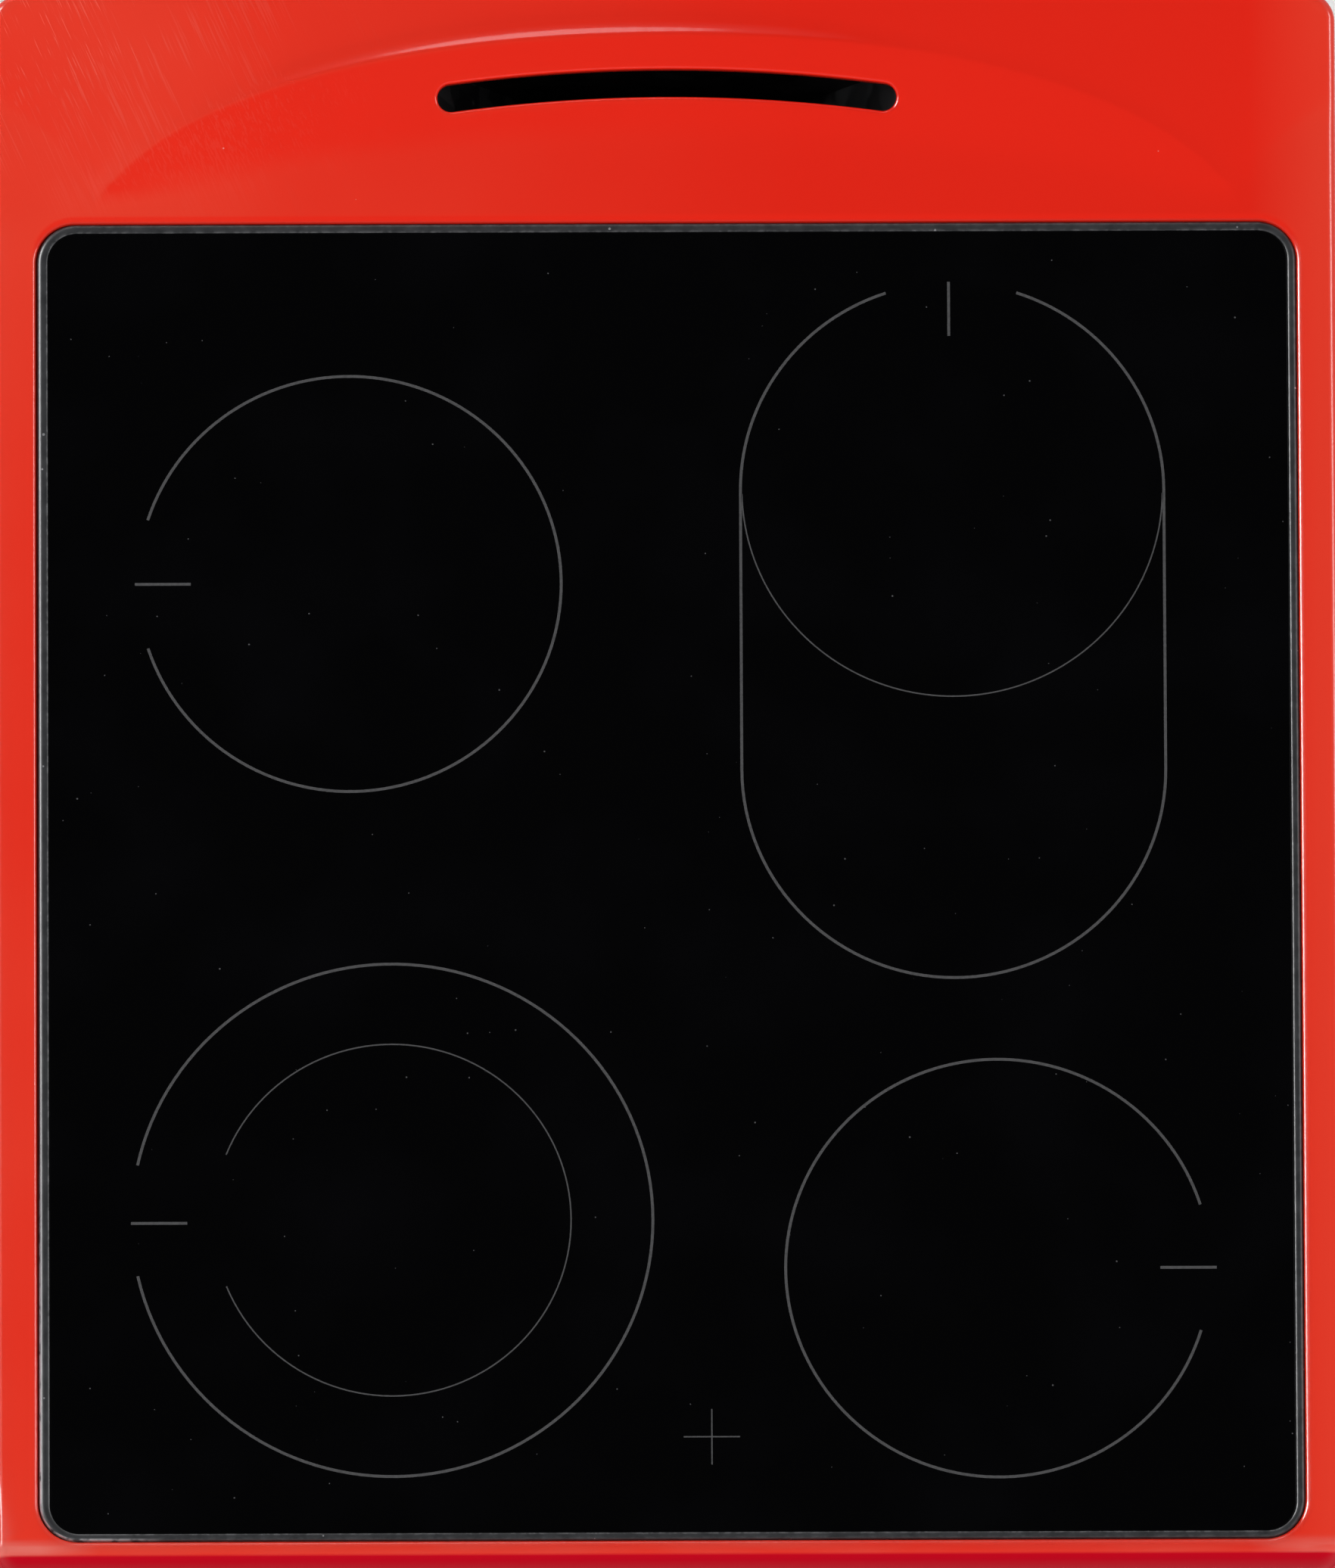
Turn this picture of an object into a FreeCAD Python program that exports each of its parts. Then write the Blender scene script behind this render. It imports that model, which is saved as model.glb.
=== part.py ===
import FreeCAD, Part
import math
import os
from FreeCAD import Vector

# A free-standing electric cooker: glass-ceramic hob, fan oven and storage drawer.
# Millimetres. X is across the front, Y points to the back, Z is up from the floor.
# The origin is on the floor in the middle of the whole, with the door handle counted in.

# Whole cooker
width = 500.0
depth = 600.0
height = 850.0
handle_reach = 45.0
casing_sheet = 0.8
enamel_sheet = 1.0
overrun = 2.0
pin_play = 0.05
slide_play = 0.3

# Hob top, pressed from one enamelled sheet, with a raised hump round the vent slot
hump_rise = 8.0
hump_foot = 8.0
hob_skirt = 30.0
hob_corner = 11.0
hob_edge = 4.0
arch_side = 30.0
arch_height = 85.3
arch_inset = 10.8
arch_spread_share = 1.0
slot_length = 172.0
slot_width = 10.2
slot_back = 32.8
slot_bow = 600.0
glass_seat = 14.0

# Glass and its seal frame
glass_side = 17.8
glass_margin = 16.0
glass_rear = 89.2
glass_thick = 4.0
glass_corner = 11.0
glass_chamfer = 0.5
glass_sink = 0.6
seal_width = 3.4
seal_bed = 1.0
seal_bed_width = 9.0
seal_gap = 0.3
seal_proud = 0.3
seal_round = 1.1
pocket_edge = 3.0

# Heaters under the glass: each middle, radius and stretch as shares of the glass
heater_small_share = 0.15124
heater_large_share = 0.18775
heater_stretch_share = 0.21544
heater_rear_left_shares = (-0.25732, 0.22898)
heater_front_left_shares = (-0.22459, -0.26031)
heater_front_right_shares = (0.26163, -0.29851)
heater_rear_right_shares = (0.22847, 0.08448)
heater_rim = 8.0
heater_deep = 26.0
heater_sheet = 0.6
heater_base = 11.0
ribbon_thick = 0.8
ribbon_high = 5.0
ribbon_ring_shares = (0.42, 0.8)
ribbon_corners = 18
limiter_radius = 2.5
limiter_drop = 6.0
limiter_head_long = 22.0
limiter_head_wide = 18.0
limiter_head_high = 12.0
crossbar_wide = 34.0
crossbar_high = 12.0

# Casing
side_inset = 2.0
back_inset = 24.0
foot_clear = 26.0
flange = 14.0
side_tuck = 16.0
pan_rim = 18.0
pan_rib = 3.0
pan_rib_wide = 22.0
pan_rib_shares = (-0.25, 0, 0.25)
panel_field_margin = 60.0
panel_field_low = 124.0
panel_field_deep = 3.0
panel_field_corner = 30.0
louvre_long = 70.0
louvre_wide = 5.0
louvre_pitch = 14.0
louvre_rows = 7
louvre_columns = 4
louvre_gap = 24.0
louvre_top = 60.0

# Feet
foot_radius = 18.0
foot_pad = 12.0
foot_pad_edge = 2.0
foot_stem = 5.0
foot_stem_up = 12.0
foot_nut = 10.0
foot_nut_high = 9.0
foot_side = 48.0
foot_front = 95.0
foot_back = 80.0

# Front: fascia line, door, drawer and control panel
fascia_setback = 4.0
door_thick = 34.0
door_clear = 5.0
door_gap = 8.0
drawer_height_share = 0.2
drawer_rise = 10.0
panel_gap = 8.0
panel_high = 116.0
panel_tuck = 8.0
frame_drop = 3.0
frame_lintel = 14.0
frame_stile = 34.0

# Oven
oven_side = 50.0
oven_back_room = 132.0
oven_corner = 18.0
oven_lift = 56.0
oven_head = 83.0
oven_flange = 14.0
element_room = 16.0
wool_side = 15.0
wool_top = 22.0
wool_play = 1.0
gasket_wide = 8.0
gasket_round = 1.5

# Oven elements
element_tube = 3.25
element_bend = 16.0
grill_drop = 26.0
grill_margin = 42.0
grill_front = 50.0
grill_loop = 56.0
grill_plate_wide = 76.0
grill_plate_high = 20.0
grill_plate_thick = 2.0
floor_loop_margin = 46.0
element_tail = 26.0

# Oven lamp
lamp_in = 32.0
lamp_drop = 42.0
lamp_hole = 21.0
lamp_body = 16.0
lamp_body_long = 34.0
lamp_flange = 26.0
lamp_flange_thick = 2.0
lamp_dome_wall = 2.0

# Fan
fan_share = 0.596
fan_blades = 12
fan_blade_start_share = 0.45
fan_blade_deep = 18.0
fan_blade_thick = 1.0
fan_disc = 1.0
fan_hub = 9.0
fan_shaft = 4.0
fan_back_gap = 7.0
fan_cover_side = 70.0
fan_cover_high_share = 0.74627
fan_cover_deep = 38.0
fan_cover_corner = 28.0
fan_cover_hem = 12.0
fan_cover_slots = 20
fan_cover_slot_wide = 6.0
fan_cover_slot_start = 22.0
fan_cover_slot_end = 62.0
fan_cover_outlets = 5
fan_cover_outlet_long = 26.0
fan_cover_outlet_wide = 8.0
motor_radius = 34.0
motor_long = 30.0
motor_core_wide = 52.0
motor_core_high = 76.0
motor_core_long = 16.0
motor_plate_wide = 110.0
motor_plate_high = 90.0
motor_plate_thick = 2.0

# Shelf guides, wire shelf and baking tray
guide_wire = 2.5
guide_post_wire = 3.0
guide_tie_wire = 2.0
guide_off = 1.0
guide_levels = 5
guide_low = 44.0
guide_head = 59.0
guide_pair = 13.0
guide_reach = 14.0
guide_front = 30.0
guide_tail = 70.0
guide_post_inset = 26.0
shelf_level = 2
shelf_wire = 3.0
shelf_bar = 1.5
shelf_bars = 18
shelf_play = 4.0
shelf_corner = 14.0
tray_level = 0
tray_deep = 28.0
tray_lip = 10.0
tray_corner = 24.0
tray_slope = 10.0
tray_sheet = 1.0

# Steam duct from the oven roof to the slot in the hob
duct_sheet = 0.8
duct_half = 26.0
duct_high = 34.0
duct_inlet = 40.0
duct_thick = 20.0
duct_flare = 110.0
duct_top_half = 91.0
duct_mouth_drop = 7.0

# Terminal box on the back
terminal_wide = 116.0
terminal_high = 84.0
terminal_out = 21.0
terminal_corner = 8.0
terminal_wall = 2.0
terminal_side = 70.0
terminal_up = 120.0
terminal_hem = 8.0
terminal_block_wide = 70.0
terminal_block_high = 26.0
terminal_block_out = 12.0
terminal_posts = 5
terminal_post_radius = 3.0
cable_bore = 8.0
cable_collar = 11.5
cable_collar_long = 12.0

# Control panel, knobs and switches
control_edge = 6.0
control_top_flange = 14.0
control_ear = 6.0
control_ear_drop = 1.0
control_slot_side = 35.0
control_row_share = 0.47
knob_count = 6
knob_side = 70.0
knob_radius = 21.0
knob_skirt = 24.0
knob_skirt_thick = 4.0
knob_long = 24.0
knob_grip = 9.0
knob_grip_step = 12.0
knob_edge = 2.0
knob_off = 1.0
spindle_radius = 3.0
spindle_flat = 1.0
spindle_bore_play = 0.1
spindle_grip = 16.0
regulator_wide = 44.0
regulator_high = 48.0
regulator_long = 28.0
regulator_neck = 7.0
selector_radius = 23.0
selector_long = 32.0
selector_wafers = 3
selector_wafer_grow = 3.0
selector_wafer_thick = 3.0
thermostat_wide = 40.0
thermostat_high = 52.0
thermostat_long = 26.0
thermostat_bulb = 2.0
lens_radius = 4.0
lens_out = 1.5
lens_round = 1.2
lens_flange = 6.0
lens_long = 14.0
lens_rise = 26.0

# Oven door
door_side_gap = 2.0
door_glass = 4.0
door_glass_corner = 4.0
door_frame_inset = 3.0
door_frame_deep = 18.0
door_frame_sheet = 1.2
door_rail = 30.0
door_head = 62.0
liner_sheet = 0.8
liner_side = 33.0
liner_field_low = 34.0
liner_field_high = 62.0
liner_corner = 16.0
liner_taper = 4.0
window_side = 98.0
window_low = 116.0
window_high = 124.0
window_corner = 14.0
inner_glass_lap = 18.0
inner_glass = 4.0
liner_slots = 9
liner_slot_long = 26.0
liner_slot_wide = 4.0
liner_slot_pitch = 40.0
liner_slot_down = 20.0
handle_bar = 9.0
handle_side = 36.0
handle_end_chamfer = 1.5
handle_post_side = 74.0
handle_drop = 38.0
handle_foot_half = 16.0
handle_foot_high = 11.0
handle_neck_half = 10.0
handle_neck_high = 7.0
handle_stud = 3.0
handle_stud_hole = 4.0
handle_stud_head = 6.0
handle_stud_head_thick = 4.0

# Door hinges
hinge_side = 25.0
hinge_in = 15.0
hinge_up = 20.0
hinge_arm_thick = 4.0
hinge_eye = 6.5
hinge_pin = 3.0
hinge_arm_high = 10.0
hinge_hook_drop = 7.0
hinge_hook_long = 5.0
hinge_arm_back = 22.0
hinge_shell_wide = 16.0
hinge_shell_thick = 1.5
hinge_shell_high = 96.0
hinge_shell_deep = 15.0
hinge_notch_half = 5.0

# Storage drawer
drawer_side = 50.0
drawer_floor = 24.0
drawer_head = 20.0
drawer_long = 386.0
drawer_front_deep = 26.0
drawer_front_edge = 4.0
drawer_front_hem = 20.0
drawer_grip_half = 120.0
drawer_grip_radius = 13.0
drawer_hem = 8.0
drawer_ridge_low = 44.0
drawer_ridge_high = 11.4
drawer_ridge_out = 24.0
runner_sheet = 2.0
runner_lap = 12.0
drawer_mouth_play = 3.0

# Places worked out from the sizes above
rear_y = (depth + handle_reach) / 2
front_y = rear_y - depth
hob_mid_y = rear_y - depth / 2
rim_z = height - hump_rise
skirt_z = rim_z - hob_skirt
pocket_deep = seal_bed + glass_thick + glass_sink
glass_low = rim_z - pocket_deep + seal_bed
pocket_z = rim_z - pocket_deep
glass_width = width - 2 * glass_side
glass_length = depth - glass_margin - glass_rear
glass_y0 = front_y + glass_margin
glass_y1 = glass_y0 + glass_length
glass_mid_y = (glass_y0 + glass_y1) / 2
glass_size = math.sqrt(glass_width * glass_length)
heater_small = glass_size * heater_small_share
heater_large = glass_size * heater_large_share
heater_stretch = glass_length * heater_stretch_share
pocket_half_x = glass_width / 2 + seal_width + seal_gap
pocket_half_y = glass_length / 2 + seal_width + seal_gap
pocket_corner = glass_corner + seal_width + seal_gap
arch_half = width / 2 - arch_side
arch_y = glass_y1 - arch_inset
hump_foot_y = glass_mid_y + pocket_half_y + hump_foot
hump_slope = hump_rise / (arch_y + arch_height - hump_foot_y)
side_x = width / 2 - side_inset
inner_x = side_x - casing_sheet
fascia_y = front_y + fascia_setback
door_back_y = fascia_y + door_thick
frame_y = door_back_y + door_clear
behind_frame_y = frame_y + enamel_sheet
back_y = rear_y - back_inset
drawer_low = foot_clear + drawer_rise
drawer_height = height * drawer_height_share
drawer_top = drawer_low + drawer_height
door_low = drawer_top + door_gap
panel_low = skirt_z - panel_high
door_top = panel_low - panel_gap
panel_top = skirt_z + panel_tuck
side_top = skirt_z + side_tuck
frame_top = glass_low - heater_deep - frame_drop
oven_low = door_low + oven_lift
oven_top = door_top - oven_head
oven_height = oven_top - oven_low
oven_half = width / 2 - oven_side
oven_mid_z = (oven_low + oven_top) / 2
oven_front_y = behind_frame_y
oven_back_y = back_y - oven_back_room
wool_back_y = oven_back_y + enamel_sheet + wool_play + wool_top
lamp_side = oven_half - lamp_in
fan_z = oven_mid_z
fan_cover_wide = 2 * (oven_half - fan_cover_side)
fan_cover_high = oven_height * fan_cover_high_share
fan_radius = math.sqrt(fan_cover_high * fan_cover_wide) / 2 * fan_share
guide_pitch = (oven_height - guide_low - guide_head) / (guide_levels - 1)
knob_z = panel_low + panel_high * control_row_share
knob_pitch = (width - 2 * knob_side) / (knob_count - 1)
control_slot_half = width / 2 - control_slot_side
hinge_at = width / 2 - hinge_side
hinge_y = fascia_y + hinge_in
hinge_z = door_low + hinge_up
liner_field_half = width / 2 - liner_side
window_half = width / 2 - window_side
handle_half = width / 2 - handle_side
handle_post_at = width / 2 - handle_post_side
handle_y = front_y - handle_reach + handle_bar
handle_z = door_top - handle_drop
drawer_base_z = foot_clear + drawer_floor
drawer_half = width / 2 - drawer_side
drawer_side_top = drawer_height - drawer_head
close = pin_play / 10


# Basic solids

def box(x0, x1, y0, y1, z0, z1):
    return Part.makeBox(x1 - x0, y1 - y0, z1 - z0, Vector(x0, y0, z0))


def rod(start, end, radius):
    along = end.sub(start)
    return Part.makeCylinder(radius, along.Length, start, along)


def flat_at(z):
    return lambda u, v: Vector(u, v, z)


def upright_at(y):
    return lambda u, v: Vector(u, y, v)


def side_at(x):
    return lambda u, v: Vector(x, u, v)


def rounded_wire(u0, u1, v0, v1, radius, place):
    corners = ((u1 - radius, v0 + radius, (0, -1), (1, 0)), (u1 - radius, v1 - radius, (1, 0), (0, 1)),
               (u0 + radius, v1 - radius, (0, 1), (-1, 0)), (u0 + radius, v0 + radius, (-1, 0), (0, -1)))
    arcs = []
    for u, v, first, last in corners:
        middle = [(a + b) / math.sqrt(2) for a, b in zip(first, last)]
        arcs.append([place(u + radius * a, v + radius * b) for a, b in (first, middle, last)])
    edges = []
    for arc, following in zip(arcs, arcs[1:] + arcs[:1]):
        edges.append(Part.Arc(*arc).toShape())
        if arc[2].sub(following[0]).Length > close:
            edges.append(Part.makeLine(arc[2], following[0]))
    return Part.Wire(edges)


def prism(wire, along):
    return Part.Face(wire).extrude(along)


def polygon(points):
    return Part.makePolygon(list(points) + [points[0]])


# A rounded plate lying flat, and one standing across the front
def flat_plate(x0, x1, y0, y1, z0, z1, radius):
    return prism(rounded_wire(x0, x1, y0, y1, radius, flat_at(z0)), Vector(0, 0, z1 - z0))


def front_plate(x0, x1, z0, z1, y0, y1, radius):
    return prism(rounded_wire(x0, x1, z0, z1, radius, upright_at(y0)), Vector(0, y1 - y0, 0))


# A tapered block between two rounded outlines
def tapered(wire_a, wire_b):
    return Part.makeLoft([wire_a, wire_b], True, True)


def bent_path(points, bend):
    edges = []
    start = points[0]
    for before, corner, after in zip(points, points[1:], points[2:]):
        back = before.sub(corner).normalize()
        ahead = after.sub(corner).normalize()
        half = math.acos(back.dot(ahead)) / 2
        reach = bend / math.tan(half)
        enter = corner.add(Vector(back).multiply(reach))
        leave = corner.add(Vector(ahead).multiply(reach))
        inward = back.add(ahead).normalize()
        middle = corner.add(inward.multiply(bend / math.sin(half) - bend))
        edges.append(Part.makeLine(start, enter))
        edges.append(Part.Arc(enter, middle, leave).toShape())
        start = leave
    edges.append(Part.makeLine(start, points[-1]))
    return Part.Wire(edges)


def bent_rod(points, bend, radius):
    path = bent_path(points, bend)
    ring = Part.Wire(Part.makeCircle(radius, points[0], points[1].sub(points[0])))
    return path.makePipeShell([ring], True, False)


def mirrored(shape):
    return shape.mirror(Vector(0, 0, 0), Vector(1, 0, 0))


def both_sides(shape):
    return [shape, mirrored(shape)]


def group(solids):
    flat = []
    for solid in solids:
        flat.extend(solid.Solids)
    return Part.makeCompound(flat)


# Hob top

def arch_wire(z, grow):
    centre = Vector(0, arch_y, z)
    half = arch_half + grow
    curve = Part.Ellipse(centre, half, arch_height + grow).toShape(0, math.pi)
    return Part.Wire([curve, Part.makeLine(centre.sub(Vector(half, 0, 0)), centre.add(Vector(half, 0, 0)))])


# The hump round the vent: a face that climbs to the back, and a steep fall behind its ridge
def hump_block(inset):
    def outline(z):
        return arch_wire(z, (height - z) * arch_spread_share - inset)

    hump = tapered(outline(rim_z - hob_edge), outline(height + overrun))
    top = rim_z - inset
    far = rear_y + overrun
    climb = top + hump_slope * (far - hump_foot_y)
    sky = climb + height
    above = polygon([Vector(-width, y, z) for y, z in (
        (hob_mid_y, top), (hump_foot_y, top), (far, climb), (far, sky), (hob_mid_y, sky))])
    return hump.cut(prism(above, Vector(2 * width, 0, 0)))


# The curved slot's outline, widened by grow, on its own arc with round ends
def slot_wire(z, grow):
    middle_y = rear_y - slot_back
    turn_y = middle_y - slot_bow
    half_angle = (slot_length - slot_width) / 2 / slot_bow
    half_wide = slot_width / 2 + grow

    def at(angle, radius):
        return Vector(radius * math.sin(angle), turn_y + radius * math.cos(angle), z)

    def cap(angle, side):
        centre = at(angle, slot_bow)
        along = Vector(math.cos(angle) * side, -math.sin(angle) * side, 0)
        return centre.add(along.multiply(half_wide))

    outer = slot_bow + half_wide
    inner = slot_bow - half_wide
    return Part.Wire([
        Part.Arc(at(-half_angle, outer), at(0, outer), at(half_angle, outer)).toShape(),
        Part.Arc(at(half_angle, outer), cap(half_angle, 1), at(half_angle, inner)).toShape(),
        Part.Arc(at(half_angle, inner), at(0, inner), at(-half_angle, inner)).toShape(),
        Part.Arc(at(-half_angle, inner), cap(-half_angle, -1), at(-half_angle, outer)).toShape()])


def edges_within(shape, z, x0, x1, y0, y1):
    near = pin_play / 2
    found = []
    for edge in shape.Edges:
        span = edge.BoundBox
        level = abs(span.ZMin - z) < near and abs(span.ZMax - z) < near
        across = span.XMin > x0 - near and span.XMax < x1 + near
        along = span.YMin > y0 - near and span.YMax < y1 + near
        if level and across and along:
            found.append(edge)
    return found


# The edges where the slot comes up through the hump's sloping face
def slot_rims(block, top):
    half = slot_length / 2 + overrun
    found = []
    for edge in block.Edges:
        span = edge.BoundBox
        within = span.XMin > -half and span.XMax < half and span.YMin > hump_foot_y + overrun
        if within and span.ZMin > top + close:
            found.append(edge)
    return found


# The pressed form as a full block: once at its outer faces, and once drawn in by the sheet
def hob_block(inset):
    half = width / 2 - inset
    top = rim_z - inset
    low = skirt_z - (overrun if inset else 0)
    block = flat_plate(-half, half, front_y + inset, rear_y - inset, low, top, hob_corner - inset)
    block = block.makeFillet(hob_edge - inset, edges_within(block, top, -half, half, front_y, rear_y))
    block = block.fuse(hump_block(inset))
    half_x = pocket_half_x + inset
    half_y = pocket_half_y + inset
    y0 = glass_mid_y - half_y
    y1 = glass_mid_y + half_y
    block = block.cut(flat_plate(-half_x, half_x, y0, y1, pocket_z - inset, height, pocket_corner + inset))
    block = block.cut(prism(slot_wire(skirt_z - 2 * overrun, inset), Vector(0, 0, height)))
    rims = edges_within(block, top, -half_x, half_x, y0, y1) + slot_rims(block, top)
    return block.makeFillet(pocket_edge - inset, rims)


def hob_top():
    shell = hob_block(0).cut(hob_block(enamel_sheet))
    inside = width / 2 - hob_edge - enamel_sheet
    under = box(-inside, inside, front_y + hob_edge + enamel_sheet, rear_y - hob_edge - enamel_sheet,
                skirt_z - overrun, pocket_z - enamel_sheet)
    shell = shell.cut(under)
    open_x = pocket_half_x - glass_seat
    open_y = pocket_half_y - glass_seat
    mouth = flat_plate(-open_x, open_x, glass_mid_y - open_y, glass_mid_y + open_y,
                       pocket_z - overrun, rim_z, glass_corner)
    return shell.cut(mouth)


def glass_trim():
    outer_x = glass_width / 2 + seal_width
    outer_y = glass_length / 2 + seal_width
    top = glass_low + glass_thick + seal_proud
    ring = flat_plate(-outer_x, outer_x, glass_mid_y - outer_y, glass_mid_y + outer_y,
                      pocket_z, top, glass_corner + seal_width)
    rims = edges_within(ring, top, -outer_x, outer_x, glass_mid_y - outer_y, glass_mid_y + outer_y)
    ring = ring.makeFillet(seal_round, rims)
    half_x = glass_width / 2
    half_y = glass_length / 2
    ring = ring.cut(flat_plate(-half_x, half_x, glass_mid_y - half_y, glass_mid_y + half_y,
                               glass_low, height, glass_corner))
    open_x = half_x - seal_bed_width
    open_y = half_y - seal_bed_width
    return ring.cut(flat_plate(-open_x, open_x, glass_mid_y - open_y, glass_mid_y + open_y,
                               pocket_z - overrun, height, glass_corner))


def ceramic_glass():
    half_x = glass_width / 2
    pane = flat_plate(-half_x, half_x, glass_y0, glass_y1, glass_low, glass_low + glass_thick, glass_corner)
    top = glass_low + glass_thick
    return pane.makeChamfer(glass_chamfer, edges_within(pane, top, -half_x, half_x, glass_y0, glass_y1))


# Radiant heaters: a steel dish, its insulating base, a ribbon and a limiter rod

def heater_at(shares):
    return glass_width * shares[0], glass_mid_y + glass_length * shares[1]


def heater_places():
    return ((heater_at(heater_rear_left_shares), heater_small, 0),
            (heater_at(heater_front_left_shares), heater_large, 0),
            (heater_at(heater_front_right_shares), heater_small, 0),
            (heater_at(heater_rear_right_shares), heater_small, heater_stretch))


def heater_wire(place, radius, stretch, z):
    x, y = place
    if not stretch:
        return Part.Wire(Part.makeCircle(radius, Vector(x, y, z)))
    return rounded_wire(x - radius, x + radius, y - radius, y + stretch + radius, radius, flat_at(z))


def heater_post(place, radius, stretch, z0, z1):
    return prism(heater_wire(place, radius, stretch, z0), Vector(0, 0, z1 - z0))


def limiter_line(place, radius):
    x, y = place
    z = glass_low - limiter_drop
    side = math.copysign(1, x)
    return Vector(x - side * radius, y, z), Vector(x + side * radius, y, z)


def heater_dishes():
    dishes = []
    for place, radius, stretch in heater_places():
        outer = radius + heater_rim
        low = glass_low - heater_deep
        dish = heater_post(place, outer, stretch, low, glass_low)
        bowl = heater_post(place, outer - heater_sheet, stretch, low + heater_sheet, height)
        start, end = limiter_line(place, outer + overrun)
        dishes.append(dish.cut(bowl).cut(rod(start, end, limiter_radius)))
    return group(dishes)


def heater_insulations():
    rings = []
    for place, radius, stretch in heater_places():
        low = glass_low - heater_deep + heater_sheet
        block = heater_post(place, radius + heater_rim - heater_sheet, stretch, low, glass_low)
        bowl = heater_post(place, radius, stretch, low + heater_base, height)
        start, end = limiter_line(place, radius + heater_rim + overrun)
        rings.append(block.cut(bowl).cut(rod(start, end, limiter_radius)))
    return group(rings)


def heater_ribbons():
    bands = []
    for place, radius, stretch in heater_places():
        low = glass_low - heater_deep + heater_sheet + heater_base
        for share in ribbon_ring_shares:
            if stretch:
                outer = heater_post(place, radius * share, stretch, low, low + ribbon_high)
                bore = heater_post(place, radius * share - ribbon_thick, stretch, low - overrun, height)
            else:
                outer = ribbon_post(place, radius * share, low, low + ribbon_high)
                bore = ribbon_post(place, radius * share - ribbon_thick, low - overrun, height)
            bands.append(outer.cut(bore))
    return group(bands)


def ribbon_post(place, radius, z0, z1):
    points = []
    for corner in range(ribbon_corners):
        angle = 2 * math.pi * corner / ribbon_corners
        points.append(Vector(place[0] + radius * math.cos(angle), place[1] + radius * math.sin(angle), z0))
    return prism(polygon(points), Vector(0, 0, z1 - z0))


def heater_limiters():
    limiters = []
    for place, radius, stretch in heater_places():
        start, end = limiter_line(place, radius + heater_rim)
        side = math.copysign(1, place[0])
        head_x = sorted((start.x, start.x - side * limiter_head_long))
        middle = start.z
        y0 = start.y - limiter_head_wide / 2
        low = middle - limiter_head_high + limiter_drop / 2
        head = box(head_x[0], head_x[1], y0, y0 + limiter_head_wide, low, low + limiter_head_high)
        limiters.append(head.fuse(rod(start, end, limiter_radius)))
    return group(limiters)


# Two hat-section bars that carry the heaters and press them to the glass
def heater_crossbars():
    bars = []
    top = glass_low - heater_deep
    for row in (heater_at(heater_front_left_shares)[1], heater_at(heater_rear_left_shares)[1]):
        half = crossbar_wide / 2
        crown = half / 2
        low = top - crossbar_high
        sheet = enamel_sheet
        points = [(-half, low), (-crown, low), (-crown, top - sheet), (crown, top - sheet), (crown, low),
                  (half, low), (half, low + sheet), (crown + sheet, low + sheet), (crown + sheet, top),
                  (-crown - sheet, top), (-crown - sheet, low + sheet), (-half, low + sheet)]
        outline = polygon([Vector(-inner_x, row + y, z) for y, z in points])
        bars.append(prism(outline, Vector(2 * inner_x, 0, 0)))
    return group(bars)


# Casing

def side_panel():
    front = behind_frame_y
    fold_x = side_x - flange
    outline = polygon([Vector(x, y, foot_clear) for x, y in (
        (side_x, front), (side_x, back_y), (fold_x, back_y), (fold_x, back_y - casing_sheet),
        (inner_x, back_y - casing_sheet), (inner_x, front + casing_sheet), (fold_x, front + casing_sheet),
        (fold_x, front))])
    panel = prism(outline, Vector(0, 0, side_top - foot_clear))
    y0 = front + panel_field_margin
    y1 = back_y - panel_field_margin
    z0 = foot_clear + panel_field_low
    z1 = skirt_z - panel_field_margin
    panel = panel.fuse(side_field(y0, y1, z0, z1, inner_x, casing_sheet))
    return panel.cut(side_field(y0, y1, z0, z1, side_x, 0))


# The tapered field pressed into a side panel
def side_field(y0, y1, z0, z1, x, grow):
    deep = panel_field_deep
    wide = rounded_wire(y0 - grow, y1 + grow, z0 - grow, z1 + grow, panel_field_corner + grow, side_at(x))
    small = rounded_wire(y0 + deep - grow, y1 - deep + grow, z0 + deep - grow, z1 - deep + grow,
                         panel_field_corner - deep + grow, side_at(x - deep))
    return tapered(wide, small)


def side_panel_right():
    return side_panel()


def side_panel_left():
    return mirrored(side_panel())


def base_pan():
    y0 = behind_frame_y + casing_sheet
    y1 = back_y - casing_sheet
    top = foot_clear + enamel_sheet
    tray = box(-inner_x, inner_x, y0, y1, foot_clear, foot_clear + pan_rim)
    tray = tray.cut(box(-inner_x + enamel_sheet, inner_x - enamel_sheet, y0 + enamel_sheet, y1 - enamel_sheet,
                        top, height))
    for share in pan_rib_shares:
        x = share * width
        tray = tray.fuse(pan_swage(x, top, pan_rib, y0 + foot_front, y1 - foot_back))
        tray = tray.cut(pan_swage(x, foot_clear, pan_rib, y0 + foot_front, y1 - foot_back))
    for x, y in foot_places():
        tray = tray.fuse(rod(Vector(x, y, top), Vector(x, y, top + foot_nut_high), foot_nut))
        tray = tray.cut(rod(Vector(x, y, 0), Vector(x, y, height), foot_stem + pin_play))
    return tray


# A long swage pressed up into the base pan
def pan_swage(x, z, rise, y0, y1):
    half = pan_rib_wide / 2
    corner = half - rise / 2
    wide = rounded_wire(x - half, x + half, y0, y1, corner, flat_at(z))
    half -= rise
    small = rounded_wire(x - half, x + half, y0 + rise, y1 - rise, corner - rise, flat_at(z + rise))
    return tapered(wide, small)


def foot_places():
    x = width / 2 - foot_side
    front = front_y + foot_front
    back = rear_y - foot_back
    return (-x, front), (x, front), (-x, back), (x, back)


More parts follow.
